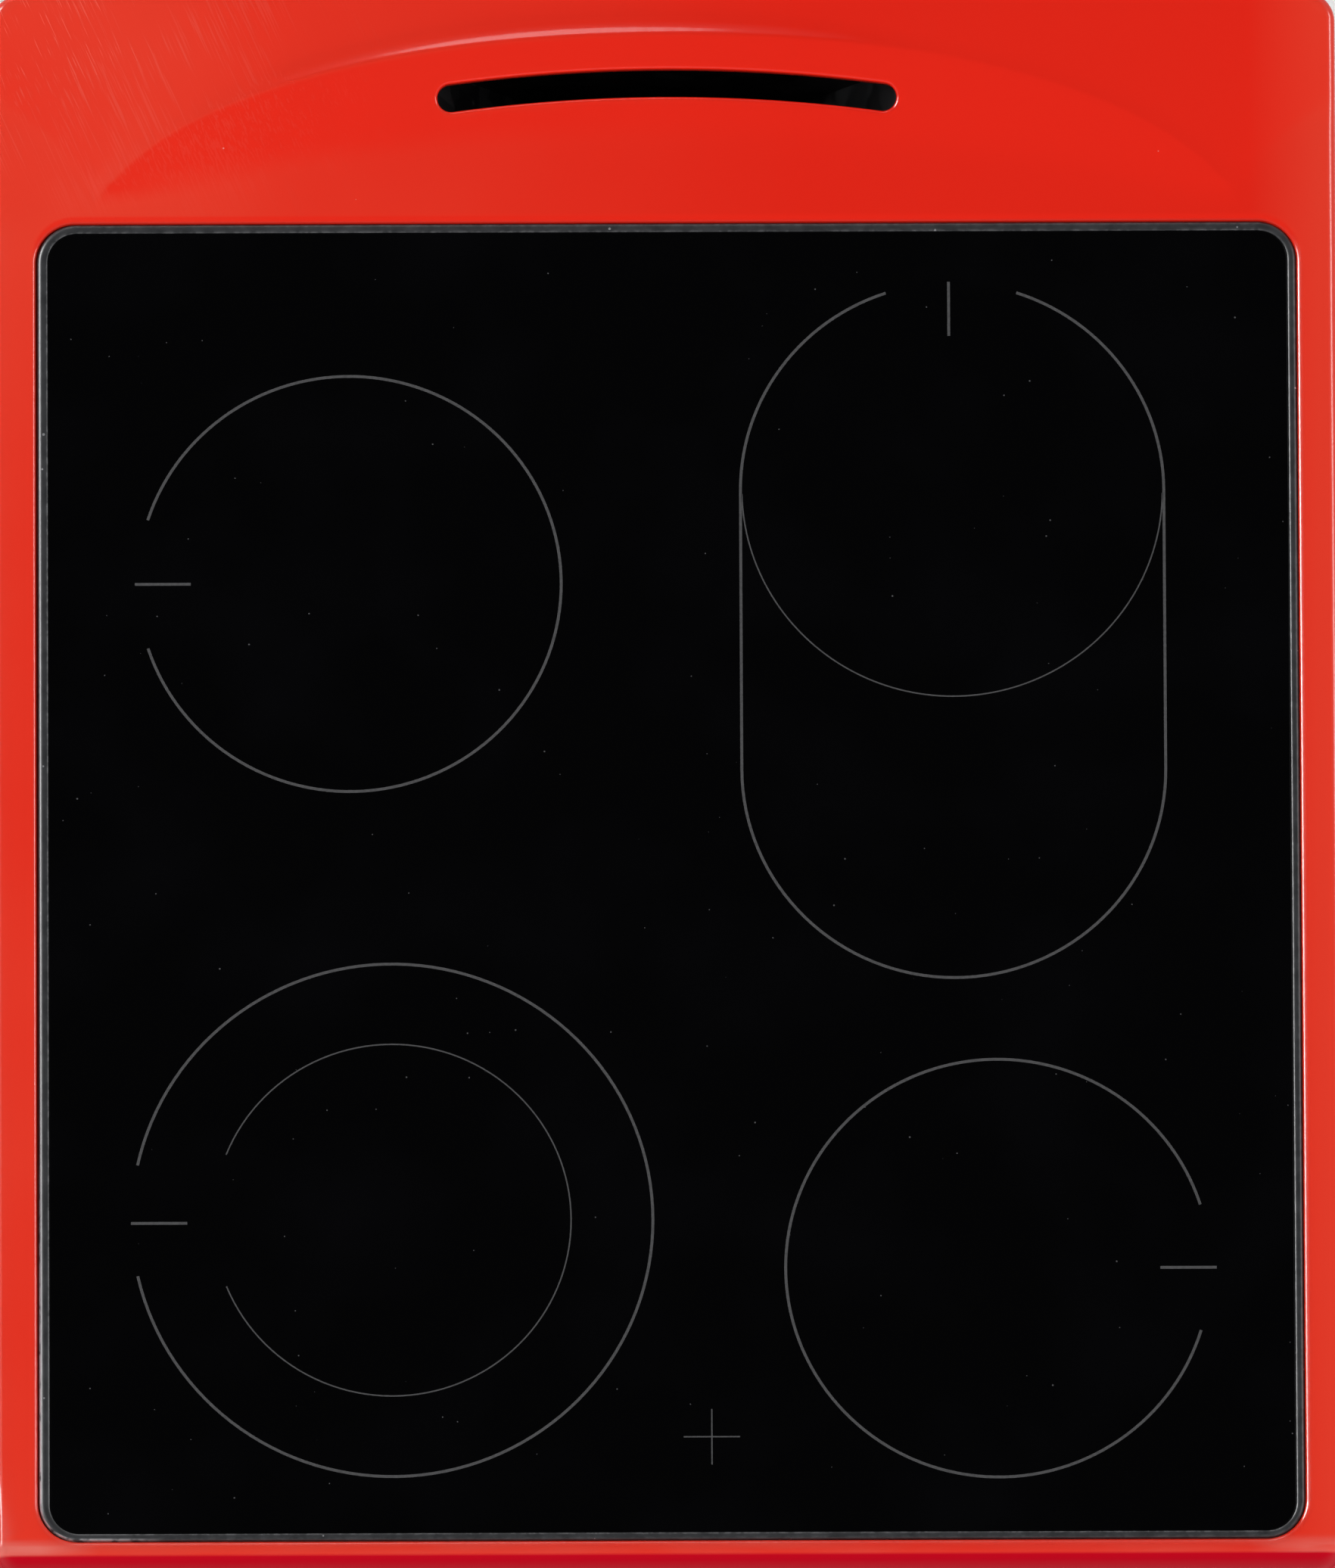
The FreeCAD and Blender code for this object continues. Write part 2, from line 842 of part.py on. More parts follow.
def foot(place):
    x, y = place
    pad = rod(Vector(x, y, 0), Vector(x, y, foot_pad), foot_radius)
    pad = pad.makeChamfer(foot_pad_edge, [edge for edge in pad.Edges if edge.BoundBox.ZLength < foot_pad / 2])
    top = foot_clear + enamel_sheet + foot_nut_high + foot_stem_up
    return pad.fuse(rod(Vector(x, y, foot_pad), Vector(x, y, top), foot_stem))


def back_panel():
    low = foot_clear
    top = skirt_z + side_tuck / 2
    panel = box(-side_x, side_x, back_y, back_y + casing_sheet, low, top)
    margin = panel_field_margin
    z0 = low + terminal_up + terminal_high + margin
    z1 = top - margin - louvre_top - louvre_rows * louvre_pitch
    panel = panel.fuse(back_field(z0, z1, back_y + casing_sheet))
    panel = panel.cut(back_field(z0, z1, back_y))
    span = louvre_columns * louvre_long + (louvre_columns - 1) * louvre_gap
    for column in range(louvre_columns):
        x0 = -span / 2 + column * (louvre_long + louvre_gap)
        for row in range(louvre_rows):
            z = top - louvre_top - row * louvre_pitch
            panel = panel.cut(box(x0, x0 + louvre_long, back_y - overrun, rear_y, z - louvre_wide, z))
    x = terminal_side - side_x + terminal_wide / 2
    hole_z = low + terminal_up + terminal_high / 2
    return panel.cut(rod(Vector(x, back_y - overrun, hole_z), Vector(x, rear_y, hole_z), cable_collar))


# A shallow field pressed outwards into the back
def back_field(z0, z1, y):
    half = side_x - panel_field_margin
    deep = panel_field_deep
    corner = panel_field_corner
    wide = rounded_wire(-half, half, z0, z1, corner, upright_at(y))
    small = rounded_wire(-half + deep, half - deep, z0 + deep, z1 - deep, corner - deep, upright_at(y + deep))
    return tapered(wide, small)


def front_frame():
    frame = box(-side_x, side_x, frame_y, behind_frame_y, foot_clear, frame_top)
    y0 = frame_y - overrun
    y1 = behind_frame_y + overrun
    frame = frame.cut(front_plate(-oven_half, oven_half, oven_low, oven_top, y0, y1, oven_corner))
    half = drawer_half + drawer_ridge_out + drawer_mouth_play
    low = foot_clear + pan_rim / 2
    top = drawer_base_z + drawer_side_top + drawer_mouth_play
    frame = frame.cut(front_plate(-half, half, low, top, y0, y1, drawer_mouth_play))
    window_half_x = side_x - frame_stile
    frame = frame.cut(front_plate(-window_half_x, window_half_x, panel_low + frame_lintel,
                                  frame_top - frame_lintel, y0, y1, oven_corner))
    half = hinge_arm_thick / 2 + slide_play
    high = hinge_arm_high / 2 + slide_play
    for x in (-hinge_at, hinge_at):
        frame = frame.cut(box(x - half, x + half, y0, y1, hinge_z - high, hinge_z + high))
    return frame


# Oven

def edges_behind(shape, y):
    return [edge for edge in shape.Edges if edge.BoundBox.YMin > y]


def edges_before(shape, y):
    return [edge for edge in shape.Edges if edge.BoundBox.YMax < y]


def through_back(x, z, radius):
    return rod(Vector(x, oven_back_y - overrun, z), Vector(x, wool_back_y + overrun, z), radius)


def oven_cavity():
    sheet = enamel_sheet
    back = oven_back_y + sheet
    outer = front_plate(-oven_half - sheet, oven_half + sheet, oven_low - sheet, oven_top + sheet,
                        oven_front_y, back, oven_corner + sheet)
    outer = outer.makeFillet(oven_corner / 2 + sheet, edges_behind(outer, back - close))
    inner = front_plate(-oven_half, oven_half, oven_low, oven_top, oven_front_y - overrun, oven_back_y,
                        oven_corner)
    inner = inner.makeFillet(oven_corner / 2, edges_behind(inner, oven_back_y - close))
    out = oven_flange
    rim = front_plate(-oven_half - out, oven_half + out, oven_low - out, oven_top + out,
                      oven_front_y, oven_front_y + sheet, oven_corner + out)
    shell = outer.fuse(rim).cut(inner)
    shell = shell.cut(through_back(0, fan_z, fan_shaft + slide_play))
    shell = shell.cut(through_back(-lamp_side, lamp_z(), lamp_body + slide_play))
    for x in grill_tails():
        shell = shell.cut(through_back(x, oven_top - grill_drop, element_tube + slide_play))
    half = duct_half - duct_sheet
    y0 = duct_y0() + duct_sheet
    y1 = duct_y0() + duct_inlet - duct_sheet
    return shell.cut(box(-half, half, y0, y1, oven_top - overrun, oven_top + sheet + overrun))


def lamp_z():
    return oven_top - lamp_drop


def duct_y0():
    return oven_back_y - oven_corner - duct_inlet


def wool_block(x, low, high, back):
    return box(-x, x, oven_front_y + enamel_sheet, back, low, high)


def insulation_wrap():
    side = enamel_sheet + wool_play
    low = oven_low - enamel_sheet - element_room
    top = oven_top + side
    wrap = wool_block(oven_half + side + wool_side, low - wool_top, top + wool_top, wool_back_y)
    wrap = wrap.cut(wool_block(oven_half + side, low, top, wool_back_y - wool_top))
    mouth = front_plate(-oven_half - oven_flange, oven_half + oven_flange, oven_low - oven_flange,
                        oven_top + oven_flange, oven_front_y - overrun,
                        oven_front_y + enamel_sheet + slide_play, oven_corner + oven_flange)
    wrap = wrap.cut(mouth)
    wrap = wrap.cut(wool_window(motor_plate_wide / 2, motor_plate_high / 2, fan_z))
    wrap = wrap.cut(through_back(-lamp_side, lamp_z(), lamp_flange + wool_play))
    wrap = wrap.cut(wool_window(grill_plate_wide / 2, grill_plate_high / 2, oven_top - grill_drop))
    wrap = wrap.cut(wool_window(floor_element_tail_x() + element_tube, element_tube, floor_element_z()))
    half = duct_half + wool_play
    y0 = duct_y0() - wool_play
    y1 = duct_y0() + duct_inlet + wool_play
    return wrap.cut(box(-half, half, y0, y1, top - overrun, top + wool_top + overrun))


# A square opening through the wool behind the oven
def wool_window(half_x, half_z, z):
    x = half_x + wool_play
    high = half_z + wool_play
    return box(-x, x, oven_back_y, wool_back_y + overrun, z - high, z + high)


def door_gasket():
    inner = gasket_wide / 2
    outer = inner + gasket_wide
    y0 = frame_y - door_clear + slide_play

    def block(grow):
        return front_plate(-oven_half - grow, oven_half + grow, oven_low - grow, oven_top + grow, y0, frame_y,
                           oven_corner + grow)

    ring = block(outer).cut(block(inner))
    return ring.makeFillet(gasket_round, edges_before(ring, y0 + close))


# Elements

def grill_tails():
    return (-grill_plate_wide / 4, grill_plate_wide / 4)


def grill_element():
    z = oven_top - grill_drop
    half = oven_half - grill_margin
    tail = grill_plate_wide / 4
    front = oven_front_y + grill_front
    back = oven_back_y - fan_cover_deep - grill_loop / 2
    out = oven_back_y + enamel_sheet + element_tail
    mid = half - grill_loop
    turn = front + grill_loop
    inner_back = back - grill_loop
    right = [Vector(x, y, z) for x, y in (
        (tail, out), (tail, back), (half, back), (half, front), (mid, front), (mid, inner_back),
        (tail, inner_back), (tail, turn))]
    left = [Vector(-point.x, point.y, point.z) for point in reversed(right)]
    tube = bent_rod(right + left, element_bend, element_tube)
    thick = grill_plate_thick
    back_face = oven_back_y + enamel_sheet
    plate = box(-grill_plate_wide / 2, grill_plate_wide / 2, back_face, back_face + thick,
                z - grill_plate_high / 2, z + grill_plate_high / 2)
    return tube.fuse(plate)


def floor_element_z():
    return oven_low - enamel_sheet - element_tube - slide_play


def floor_element_tail_x():
    return oven_half / 2


def floor_element():
    z = floor_element_z()
    half = oven_half - floor_loop_margin
    tail = floor_element_tail_x()
    front = oven_front_y + floor_loop_margin
    back = oven_back_y - floor_loop_margin
    out = wool_back_y + element_tube
    right = [Vector(x, y, z) for x, y in ((tail, out), (tail, back), (half, back), (half, front))]
    left = [Vector(-point.x, point.y, point.z) for point in reversed(right)]
    return bent_rod(right + left, element_bend, element_tube)


def lamp_holder():
    z = lamp_z()
    back = oven_back_y + enamel_sheet
    end = back + lamp_body_long
    wall = lamp_flange_thick

    def round_part(y0, y1, radius):
        return rod(Vector(-lamp_side, y0, z), Vector(-lamp_side, y1, z), radius)

    body = round_part(oven_back_y, end, lamp_body).fuse(round_part(back, back + wall, lamp_flange))
    return body.cut(round_part(oven_back_y - overrun, end - wall, lamp_body - wall))


# The glass dome over the lamp, seated on the oven's back wall
def lamp_cover():
    z = lamp_z()
    centre = Vector(-lamp_side, oven_back_y, z)
    dome = Part.makeSphere(lamp_hole, centre).cut(Part.makeSphere(lamp_hole - lamp_dome_wall, centre))
    return dome.common(box(-lamp_side - lamp_hole, -lamp_side + lamp_hole,
                           oven_back_y - lamp_hole, oven_back_y, z - lamp_hole, z + lamp_hole))


# Hot-air fan

def fan_front_y():
    return oven_back_y - fan_back_gap - fan_disc


def fan_impeller():
    disc_y = fan_front_y()
    low = disc_y - fan_blade_deep
    centre = Vector(0, disc_y, fan_z)
    wheel = rod(centre, Vector(0, disc_y + fan_disc, fan_z), fan_radius)
    wheel = wheel.fuse(rod(Vector(0, low, fan_z), centre, fan_hub))
    start = fan_radius * fan_blade_start_share
    blade = box(start, fan_radius - fan_blade_thick, low, disc_y, fan_z, fan_z + fan_blade_thick)
    for count in range(fan_blades):
        turned = blade.copy()
        turned.rotate(Vector(0, 0, fan_z), Vector(0, 1, 0), 360 * count / fan_blades)
        wheel = wheel.fuse(turned)
    out = oven_back_y + enamel_sheet + motor_plate_thick + motor_long
    return wheel.fuse(rod(Vector(0, disc_y + fan_disc, fan_z), Vector(0, out, fan_z), fan_shaft))


def fan_motor():
    face = oven_back_y + enamel_sheet
    plate = box(-motor_plate_wide / 2, motor_plate_wide / 2, face, face + motor_plate_thick,
                fan_z - motor_plate_high / 2, fan_z + motor_plate_high / 2)
    y = face + motor_plate_thick
    can = rod(Vector(0, y, fan_z), Vector(0, y + motor_long + motor_core_long, fan_z), motor_radius / 2)
    middle = y + (motor_long - motor_core_long) / 2
    core = box(-motor_core_wide / 2, motor_core_wide / 2, middle, middle + motor_core_long,
               fan_z - motor_radius, fan_z - motor_radius + motor_core_high)
    end = rod(Vector(0, y + motor_long, fan_z), Vector(0, y + motor_long + fan_shaft, fan_z), motor_radius)
    motor = plate.fuse(can).fuse(core).fuse(end)
    bore_end = y + motor_long + pin_play
    return motor.cut(rod(Vector(0, face - overrun, fan_z), Vector(0, bore_end, fan_z), fan_shaft + pin_play))


def fan_cover():
    half = fan_cover_wide / 2
    high = fan_cover_high / 2
    front = oven_back_y - fan_cover_deep
    sheet = enamel_sheet

    def tray(grow, y0, y1):
        wide = rounded_wire(-half + grow, half - grow, fan_z - high + grow, fan_z + high - grow,
                            fan_cover_corner - grow, upright_at(y1))
        slope = fan_cover_hem / 2
        small = rounded_wire(-half + grow + slope, half - grow - slope, fan_z - high + grow + slope,
                             fan_z + high - grow - slope, fan_cover_corner - grow - slope / 2, upright_at(y0))
        return tapered(small, wide)

    cover = tray(0, front, oven_back_y)
    hem = front_plate(-half - fan_cover_hem, half + fan_cover_hem, fan_z - high - fan_cover_hem,
                      fan_z + high + fan_cover_hem, oven_back_y - sheet, oven_back_y, fan_cover_corner)
    cover = cover.fuse(hem).cut(tray(sheet, front + sheet, oven_back_y + overrun))
    slot = box(fan_cover_slot_start, fan_cover_slot_end, front - overrun, front + sheet + overrun,
               fan_z - fan_cover_slot_wide / 2, fan_z + fan_cover_slot_wide / 2)
    cuts = []
    for count in range(fan_cover_slots):
        turned = slot.copy()
        turned.rotate(Vector(0, 0, fan_z), Vector(0, 1, 0), 360 * count / fan_cover_slots)
        cuts.append(turned)
    pitch = fan_cover_high / (fan_cover_outlets + 1)
    for count in range(fan_cover_outlets):
        z = fan_z - high + pitch * (count + 1)
        cuts.append(box(-width, width, front + fan_cover_outlet_wide, front + 2 * fan_cover_outlet_wide,
                        z - fan_cover_outlet_long / 2, z + fan_cover_outlet_long / 2))
    for cut in cuts:
        cover = cover.cut(cut)
    return cover


# Wire goods and tray

def guide_level_z(level):
    return oven_low + guide_low + level * guide_pitch


def shelf_guide():
    wire = guide_wire
    x = oven_half - guide_post_wire - guide_off
    reach = x - guide_reach
    y0 = oven_front_y + guide_front
    y1 = oven_back_y - guide_tail
    low = guide_level_z(0) - guide_pair
    top = guide_level_z(guide_levels - 1) + 2 * guide_pair
    posts = (y0 + guide_post_inset, y1 - guide_post_inset)
    guide = None
    for level in range(guide_levels):
        for z in (guide_level_z(level) - wire, guide_level_z(level) + guide_pair - wire):
            rail = bent_rod([Vector(x, y0, z), Vector(reach, y0, z), Vector(reach, y1, z), Vector(x, y1, z)],
                            2 * wire, wire)
            guide = guide.fuse(rail) if guide else rail
            for y in posts:
                guide = guide.fuse(rod(Vector(x, y, z), Vector(reach, y, z), guide_tie_wire))
    for y in posts:
        guide = guide.fuse(rod(Vector(x, y, low), Vector(x, y, top), guide_post_wire))
        for z in (low + 2 * wire, top - 2 * wire):
            guide = guide.fuse(rod(Vector(x, y, z), Vector(oven_half, y, z), guide_tie_wire))
    return guide


def shelf_guides():
    return group(both_sides(shelf_guide()))


def shelf_half():
    return oven_half - guide_off - 2 * guide_post_wire - shelf_play


def wire_shelf():
    half = shelf_half()
    y0 = oven_front_y + guide_front
    y1 = oven_back_y - guide_tail
    z = guide_level_z(shelf_level) + shelf_wire
    loop = [Vector(x, y, z) for x, y in ((0, y0), (half, y0), (half, y1), (-half, y1), (-half, y0))]
    path = bent_path(loop + [Vector(0, y0, z)], shelf_corner)
    ring = Part.Wire(Part.makeCircle(shelf_wire, loop[0], Vector(1, 0, 0)))
    shelf = path.makePipeShell([ring], True, False)
    pitch = 2 * half / (shelf_bars + 1)
    for count in range(shelf_bars):
        x = -half + pitch * (count + 1)
        shelf = shelf.fuse(rod(Vector(x, y0, z + shelf_bar), Vector(x, y1, z + shelf_bar), shelf_bar))
    return shelf


def tray_block(grow, low, high):
    half = shelf_half() - tray_lip + grow
    y0 = oven_front_y + guide_front + tray_lip - grow
    y1 = oven_back_y - guide_tail - tray_lip + grow
    slope = tray_slope
    corner = tray_corner + grow
    wide = rounded_wire(-half, half, y0, y1, corner, flat_at(high))
    small = rounded_wire(slope - half, half - slope, y0 + slope, y1 - slope, corner, flat_at(low))
    return tapered(small, wide)


def baking_tray():
    top = guide_level_z(tray_level) + tray_sheet
    low = top - tray_deep
    half = shelf_half()
    lip = flat_plate(-half, half, oven_front_y + guide_front, oven_back_y - guide_tail,
                     top - tray_sheet, top, tray_corner)
    return tray_block(0, low, top).fuse(lip).cut(tray_block(-tray_sheet, low + tray_sheet, top + overrun))


# Steam duct: an elbow of folded sheet, flared to the slot above

def duct_block(wall):
    y0 = duct_y0() + wall
    y1 = duct_y0() + duct_inlet - wall
    low = oven_top + enamel_sheet
    floor = oven_top + enamel_sheet + wool_play + wool_top + wall
    roof = floor + duct_high - 2 * wall
    rise0 = back_y - duct_thick + wall
    rise1 = back_y - wall
    mouth = rim_z - duct_mouth_drop
    foot = low - (overrun if wall else 0)
    head = mouth + (overrun if wall else 0)
    side = [(y0, foot), (y1, foot), (y1, floor), (rise1, floor), (rise1, head), (rise0, head), (rise0, roof),
            (y0, roof)]
    profile = prism(polygon([Vector(-width, y, z) for y, z in side]), Vector(2 * width, 0, 0))
    narrow = duct_half - wall
    flare0 = mouth - duct_flare
    across = [(-narrow, foot), (narrow, foot), (narrow, flare0), (duct_top_half - wall, head),
              (wall - duct_top_half, head), (-narrow, flare0)]
    front = prism(polygon([Vector(x, -depth, z) for x, z in across]), Vector(0, 2 * depth, 0))
    return profile.common(front)


def vent_duct():
    return duct_block(0).cut(duct_block(duct_sheet))


# Terminal box and its cable collar

def terminal_box():
    x0 = terminal_side - side_x
    x1 = x0 + terminal_wide
    z0 = foot_clear + terminal_up
    z1 = z0 + terminal_high
    y0 = back_y + casing_sheet
    y1 = y0 + terminal_out
    wall = terminal_wall
    cover = front_plate(x0, x1, z0, z1, y0, y1, terminal_corner)
    cover = cover.makeFillet(terminal_corner / 2, edges_behind(cover, y1 - close))
    cover = cover.cut(front_plate(x0 + wall, x1 - wall, z0 + wall, z1 - wall, y0 - overrun, y1 - wall,
                                  terminal_corner - wall))
    out = terminal_hem
    hem = front_plate(x0 - out, x1 + out, z1 - out, z1 + out, y0, y0 + wall, out - wall)
    hem = hem.cut(box(x0 + wall, x1 - wall, y0 - overrun, y1, z0, z1 - wall))
    x = x0 + terminal_wide / 2
    y = y0 + terminal_out / 2
    collar_low = z0 - cable_collar_long + wall
    collar = rod(Vector(x, y, collar_low), Vector(x, y, z0 + wall), terminal_out / 2 - pin_play)
    cover = cover.fuse(hem).fuse(collar)
    cover = cover.cut(rod(Vector(x, y, collar_low - overrun), Vector(x, y, z0 + wall + overrun), cable_bore))
    block_z = z0 + terminal_high / 2 - terminal_block_high / 2
    block = box(x - terminal_block_wide / 2, x + terminal_block_wide / 2, y0, y0 + terminal_block_out,
                block_z, block_z + terminal_block_high)
    pitch = terminal_block_wide / terminal_posts
    post_z = block_z + terminal_block_high / 2
    for count in range(terminal_posts):
        post_x = x + pitch * (count - (terminal_posts - 1) / 2)
        block = block.cut(rod(Vector(post_x, y0 + terminal_wall, post_z), Vector(post_x, y1, post_z),
                              terminal_post_radius))
    return group([cover, block])


# Control panel and what is fixed behind it

def knob_places():
    return [(count - (knob_count - 1) / 2) * knob_pitch for count in range(knob_count)]


def lens_places():
    x = knob_places()
    return ((x[1] + x[2]) / 2, (x[3] + x[4]) / 2)


def panel_outline(grow):
    edge = control_edge - grow
    y0 = fascia_y + grow
    y1 = frame_y + (overrun if grow else 0)
    z0 = panel_low + grow
    z1 = panel_top - grow
    turn = edge * (1 - 1 / math.sqrt(2))

    def at(y, z):
        return Vector(-side_x + grow, y, z)

    return Part.Wire([
        Part.makeLine(at(y1, z0), at(y0 + edge, z0)),
        Part.Arc(at(y0 + edge, z0), at(y0 + turn, z0 + turn), at(y0, z0 + edge)).toShape(),
        Part.makeLine(at(y0, z0 + edge), at(y0, z1)),
        Part.makeLine(at(y0, z1), at(y1, z1)),
        Part.makeLine(at(y1, z1), at(y1, z0))])


def control_panel():
    sheet = enamel_sheet
    panel = prism(panel_outline(0), Vector(2 * side_x, 0, 0))
    panel = panel.cut(prism(panel_outline(sheet), Vector(2 * side_x - 2 * sheet, 0, 0)))
    slot_y = frame_y - door_clear
    panel = panel.cut(box(-control_slot_half, control_slot_half, slot_y - 2 * sheet, slot_y,
                          panel_low - overrun, panel_low + 2 * sheet))
    panel = panel.cut(box(-side_x + sheet, side_x - sheet, fascia_y + control_top_flange, frame_y,
                          panel_top - 2 * sheet, panel_top + overrun))
    for x in (-side_x, side_x):
        panel = panel.cut(box(x - control_ear, x + control_ear, front_y, frame_y + overrun,
                              skirt_z - control_ear_drop, panel_top + overrun))
    y0 = front_y - overrun
    y1 = fascia_y + 2 * sheet
    for x in knob_places():
        panel = panel.cut(rod(Vector(x, y0, knob_z), Vector(x, y1, knob_z), regulator_neck))
    z = knob_z + lens_rise
    for x in lens_places():
        panel = panel.cut(rod(Vector(x, y0, z), Vector(x, y1, z), lens_radius))
    return panel


def spindle_bore(x, long):
    return rod(Vector(x, front_y, knob_z), Vector(x, fascia_y + enamel_sheet + long - casing_sheet, knob_z),
               spindle_radius + pin_play)


def switch_neck(x):
    back = fascia_y + enamel_sheet
    return rod(Vector(x, fascia_y, knob_z), Vector(x, back, knob_z), regulator_neck - pin_play)


def hob_regulator(x):
    y0 = fascia_y + enamel_sheet
    body = front_plate(x - regulator_wide / 2, x + regulator_wide / 2, knob_z - regulator_high / 2,
                       knob_z + regulator_high / 2, y0, y0 + regulator_long, regulator_neck)
    return body.fuse(switch_neck(x)).cut(spindle_bore(x, regulator_long))


def regulator_xs():
    x = knob_places()
    return (x[0], x[1], x[4], x[5])


def hob_regulators():
    return group([hob_regulator(x) for x in regulator_xs()])


def oven_selector():
    x = knob_places()[2]
    y0 = fascia_y + enamel_sheet
    body = rod(Vector(x, y0, knob_z), Vector(x, y0 + selector_long, knob_z), selector_radius)
    pitch = selector_long / (selector_wafers + 1)
    for count in range(selector_wafers):
        y = y0 + pitch * (count + 1) - selector_wafer_thick / 2
        body = body.fuse(rod(Vector(x, y, knob_z), Vector(x, y + selector_wafer_thick, knob_z),
                             selector_radius + selector_wafer_grow))
    return body.fuse(switch_neck(x)).cut(spindle_bore(x, selector_long))


def oven_thermostat():
    x = knob_places()[3]
    y0 = fascia_y + enamel_sheet
    body = front_plate(x - thermostat_wide / 2, x + thermostat_wide / 2, knob_z - thermostat_high / 2,
                       knob_z + thermostat_high / 2, y0, y0 + thermostat_long, thermostat_bulb)
    stub = rod(Vector(x, y0 + thermostat_long / 2, knob_z - thermostat_high / 2),
               Vector(x, y0 + thermostat_long / 2, panel_low + 2 * enamel_sheet), thermostat_bulb)
    return body.fuse(stub).fuse(switch_neck(x)).cut(spindle_bore(x, thermostat_long))


def pilot_lenses():
    lenses = []
    for x in lens_places():
        z = knob_z + lens_rise
        y = fascia_y + enamel_sheet
        body = rod(Vector(x, fascia_y - lens_out, z), Vector(x, y, z), lens_radius - pin_play)
        body = body.makeFillet(lens_round, edges_before(body, fascia_y))
        lenses.append(body.fuse(rod(Vector(x, y, z), Vector(x, y + lens_long, z), lens_flange)))
    return group(lenses)


def knob(x):
    y1 = fascia_y - knob_off
    y0 = y1 - knob_long
    skirt = rod(Vector(x, y1 - knob_skirt_thick, knob_z), Vector(x, y1, knob_z), knob_skirt)
    step = y0 + knob_grip_step
    barrel = Part.makeCone(knob_radius, knob_radius - knob_edge, y1 - knob_skirt_thick - step,
                           Vector(x, y1 - knob_skirt_thick, knob_z), Vector(0, -1, 0))
    grip = front_plate(x - knob_grip / 2, x + knob_grip / 2, knob_z - knob_radius + knob_edge,
                       knob_z + knob_radius - knob_edge, y0, step + knob_edge, knob_grip / 2 - pin_play)
    grip = grip.makeFillet(knob_edge, edges_before(grip, y0 + pin_play))
    body = skirt.fuse(barrel).fuse(grip)
    bore = spindle_solid(x, y1 - spindle_grip, y1 + overrun, spindle_radius + spindle_bore_play)
    return body.cut(bore)


def spindle_solid(x, y0, y1, radius):
    shaft = rod(Vector(x, y0, knob_z), Vector(x, y1, knob_z), radius)
    flat = box(x - radius, x + radius, y0 - overrun, y1 + overrun,
               knob_z + radius - spindle_flat, knob_z + radius + overrun)
    return shaft.cut(flat)


def spindle(x, long):
    start = fascia_y - knob_off - spindle_grip + spindle_bore_play
    shoulder = fascia_y - knob_off + spindle_bore_play
    end = fascia_y + enamel_sheet + long - casing_sheet - pin_play
    plain = rod(Vector(x, shoulder, knob_z), Vector(x, end, knob_z), spindle_radius)
    return spindle_solid(x, start, shoulder, spindle_radius).fuse(plain)


# Oven door

def door_outer_glass():
    half = width / 2 - door_side_gap
    pane = front_plate(-half, half, door_low, door_top, fascia_y, fascia_y + door_glass, door_glass_corner)
    pane = pane.makeChamfer(glass_chamfer, edges_before(pane, fascia_y + pin_play))
    for x in (-handle_post_at, handle_post_at):
        pane = pane.cut(rod(Vector(x, front_y, handle_z), Vector(x, door_back_y, handle_z), handle_stud_hole))
    return pane


def door_frame_span():
    half = width / 2 - door_side_gap - door_frame_inset
    return half, door_low + door_frame_inset, door_top - door_frame_inset


def door_frame():
    half, low, top = door_frame_span()
    y0 = fascia_y + door_glass
    y1 = y0 + door_frame_deep
    sheet = door_frame_sheet
    side = half - door_rail
    sill = low + door_rail
    head = top - door_head
    frame = front_plate(-half, half, low, top, y0, y1, door_glass_corner)
    frame = frame.cut(box(-side, side, y0 - overrun, y1 + overrun, sill, head))
    channel = front_plate(-half + sheet, half - sheet, low + sheet, top - sheet, y0 + sheet, y1 + overrun,
                          door_glass_corner - sheet)
    channel = channel.cut(box(-side - sheet, side + sheet, y0, y1 + 2 * overrun, sill - sheet, head + sheet))
    frame = frame.cut(channel)
    for x in (-hinge_at, hinge_at):
        frame = frame.cut(hinge_notch(x))
    for x in (-handle_post_at, handle_post_at):
        frame = frame.cut(rod(Vector(x, front_y, handle_z), Vector(x, y1, handle_z), handle_stud + pin_play))
    return frame


# The way a hinge arm sweeps through the foot of the door
def hinge_notch(x):
    half = hinge_arm_thick / 2 + hinge_notch_half
    return box(x - half, x + half, hinge_y - hinge_eye - slide_play, frame_y,
               door_low - overrun, hinge_z + hinge_eye + overrun)


def door_liner():
    half, low, top = door_frame_span()
    y0 = fascia_y + door_glass + door_frame_deep
    sheet = liner_sheet
    plate = front_plate(-half, half, low, top, y0, y0 + sheet, door_glass_corner)

    def outline(inset, corner, y):
        field_half = liner_field_half - inset
        field_low = low + liner_field_low - door_frame_inset + inset
        field_high = top - liner_field_high + door_frame_inset - inset
        return rounded_wire(-field_half, field_half, field_low, field_high, corner, upright_at(y))

    def field(grow, face):
        wide = outline(grow, liner_corner - grow, y0 - (overrun if grow else 0))
        return tapered(wide, outline(grow + liner_taper, liner_corner - grow, face))

    liner = plate.fuse(field(0, door_back_y)).cut(field(sheet, door_back_y - sheet))
    liner = liner.cut(front_plate(-window_half, window_half, door_low + window_low, door_top - window_high,
                                  y0, door_back_y + overrun, window_corner))
    span = (liner_slots - 1) * liner_slot_pitch
    z = top - liner_slot_down
    for count in range(liner_slots):
        x = -span / 2 + count * liner_slot_pitch
        liner = liner.cut(box(x - liner_slot_long / 2, x + liner_slot_long / 2, y0 - overrun, y0 + overrun,
                              z - liner_slot_wide, z))
    for x in (-hinge_at, hinge_at):
        liner = liner.cut(hinge_notch(x))
    return liner


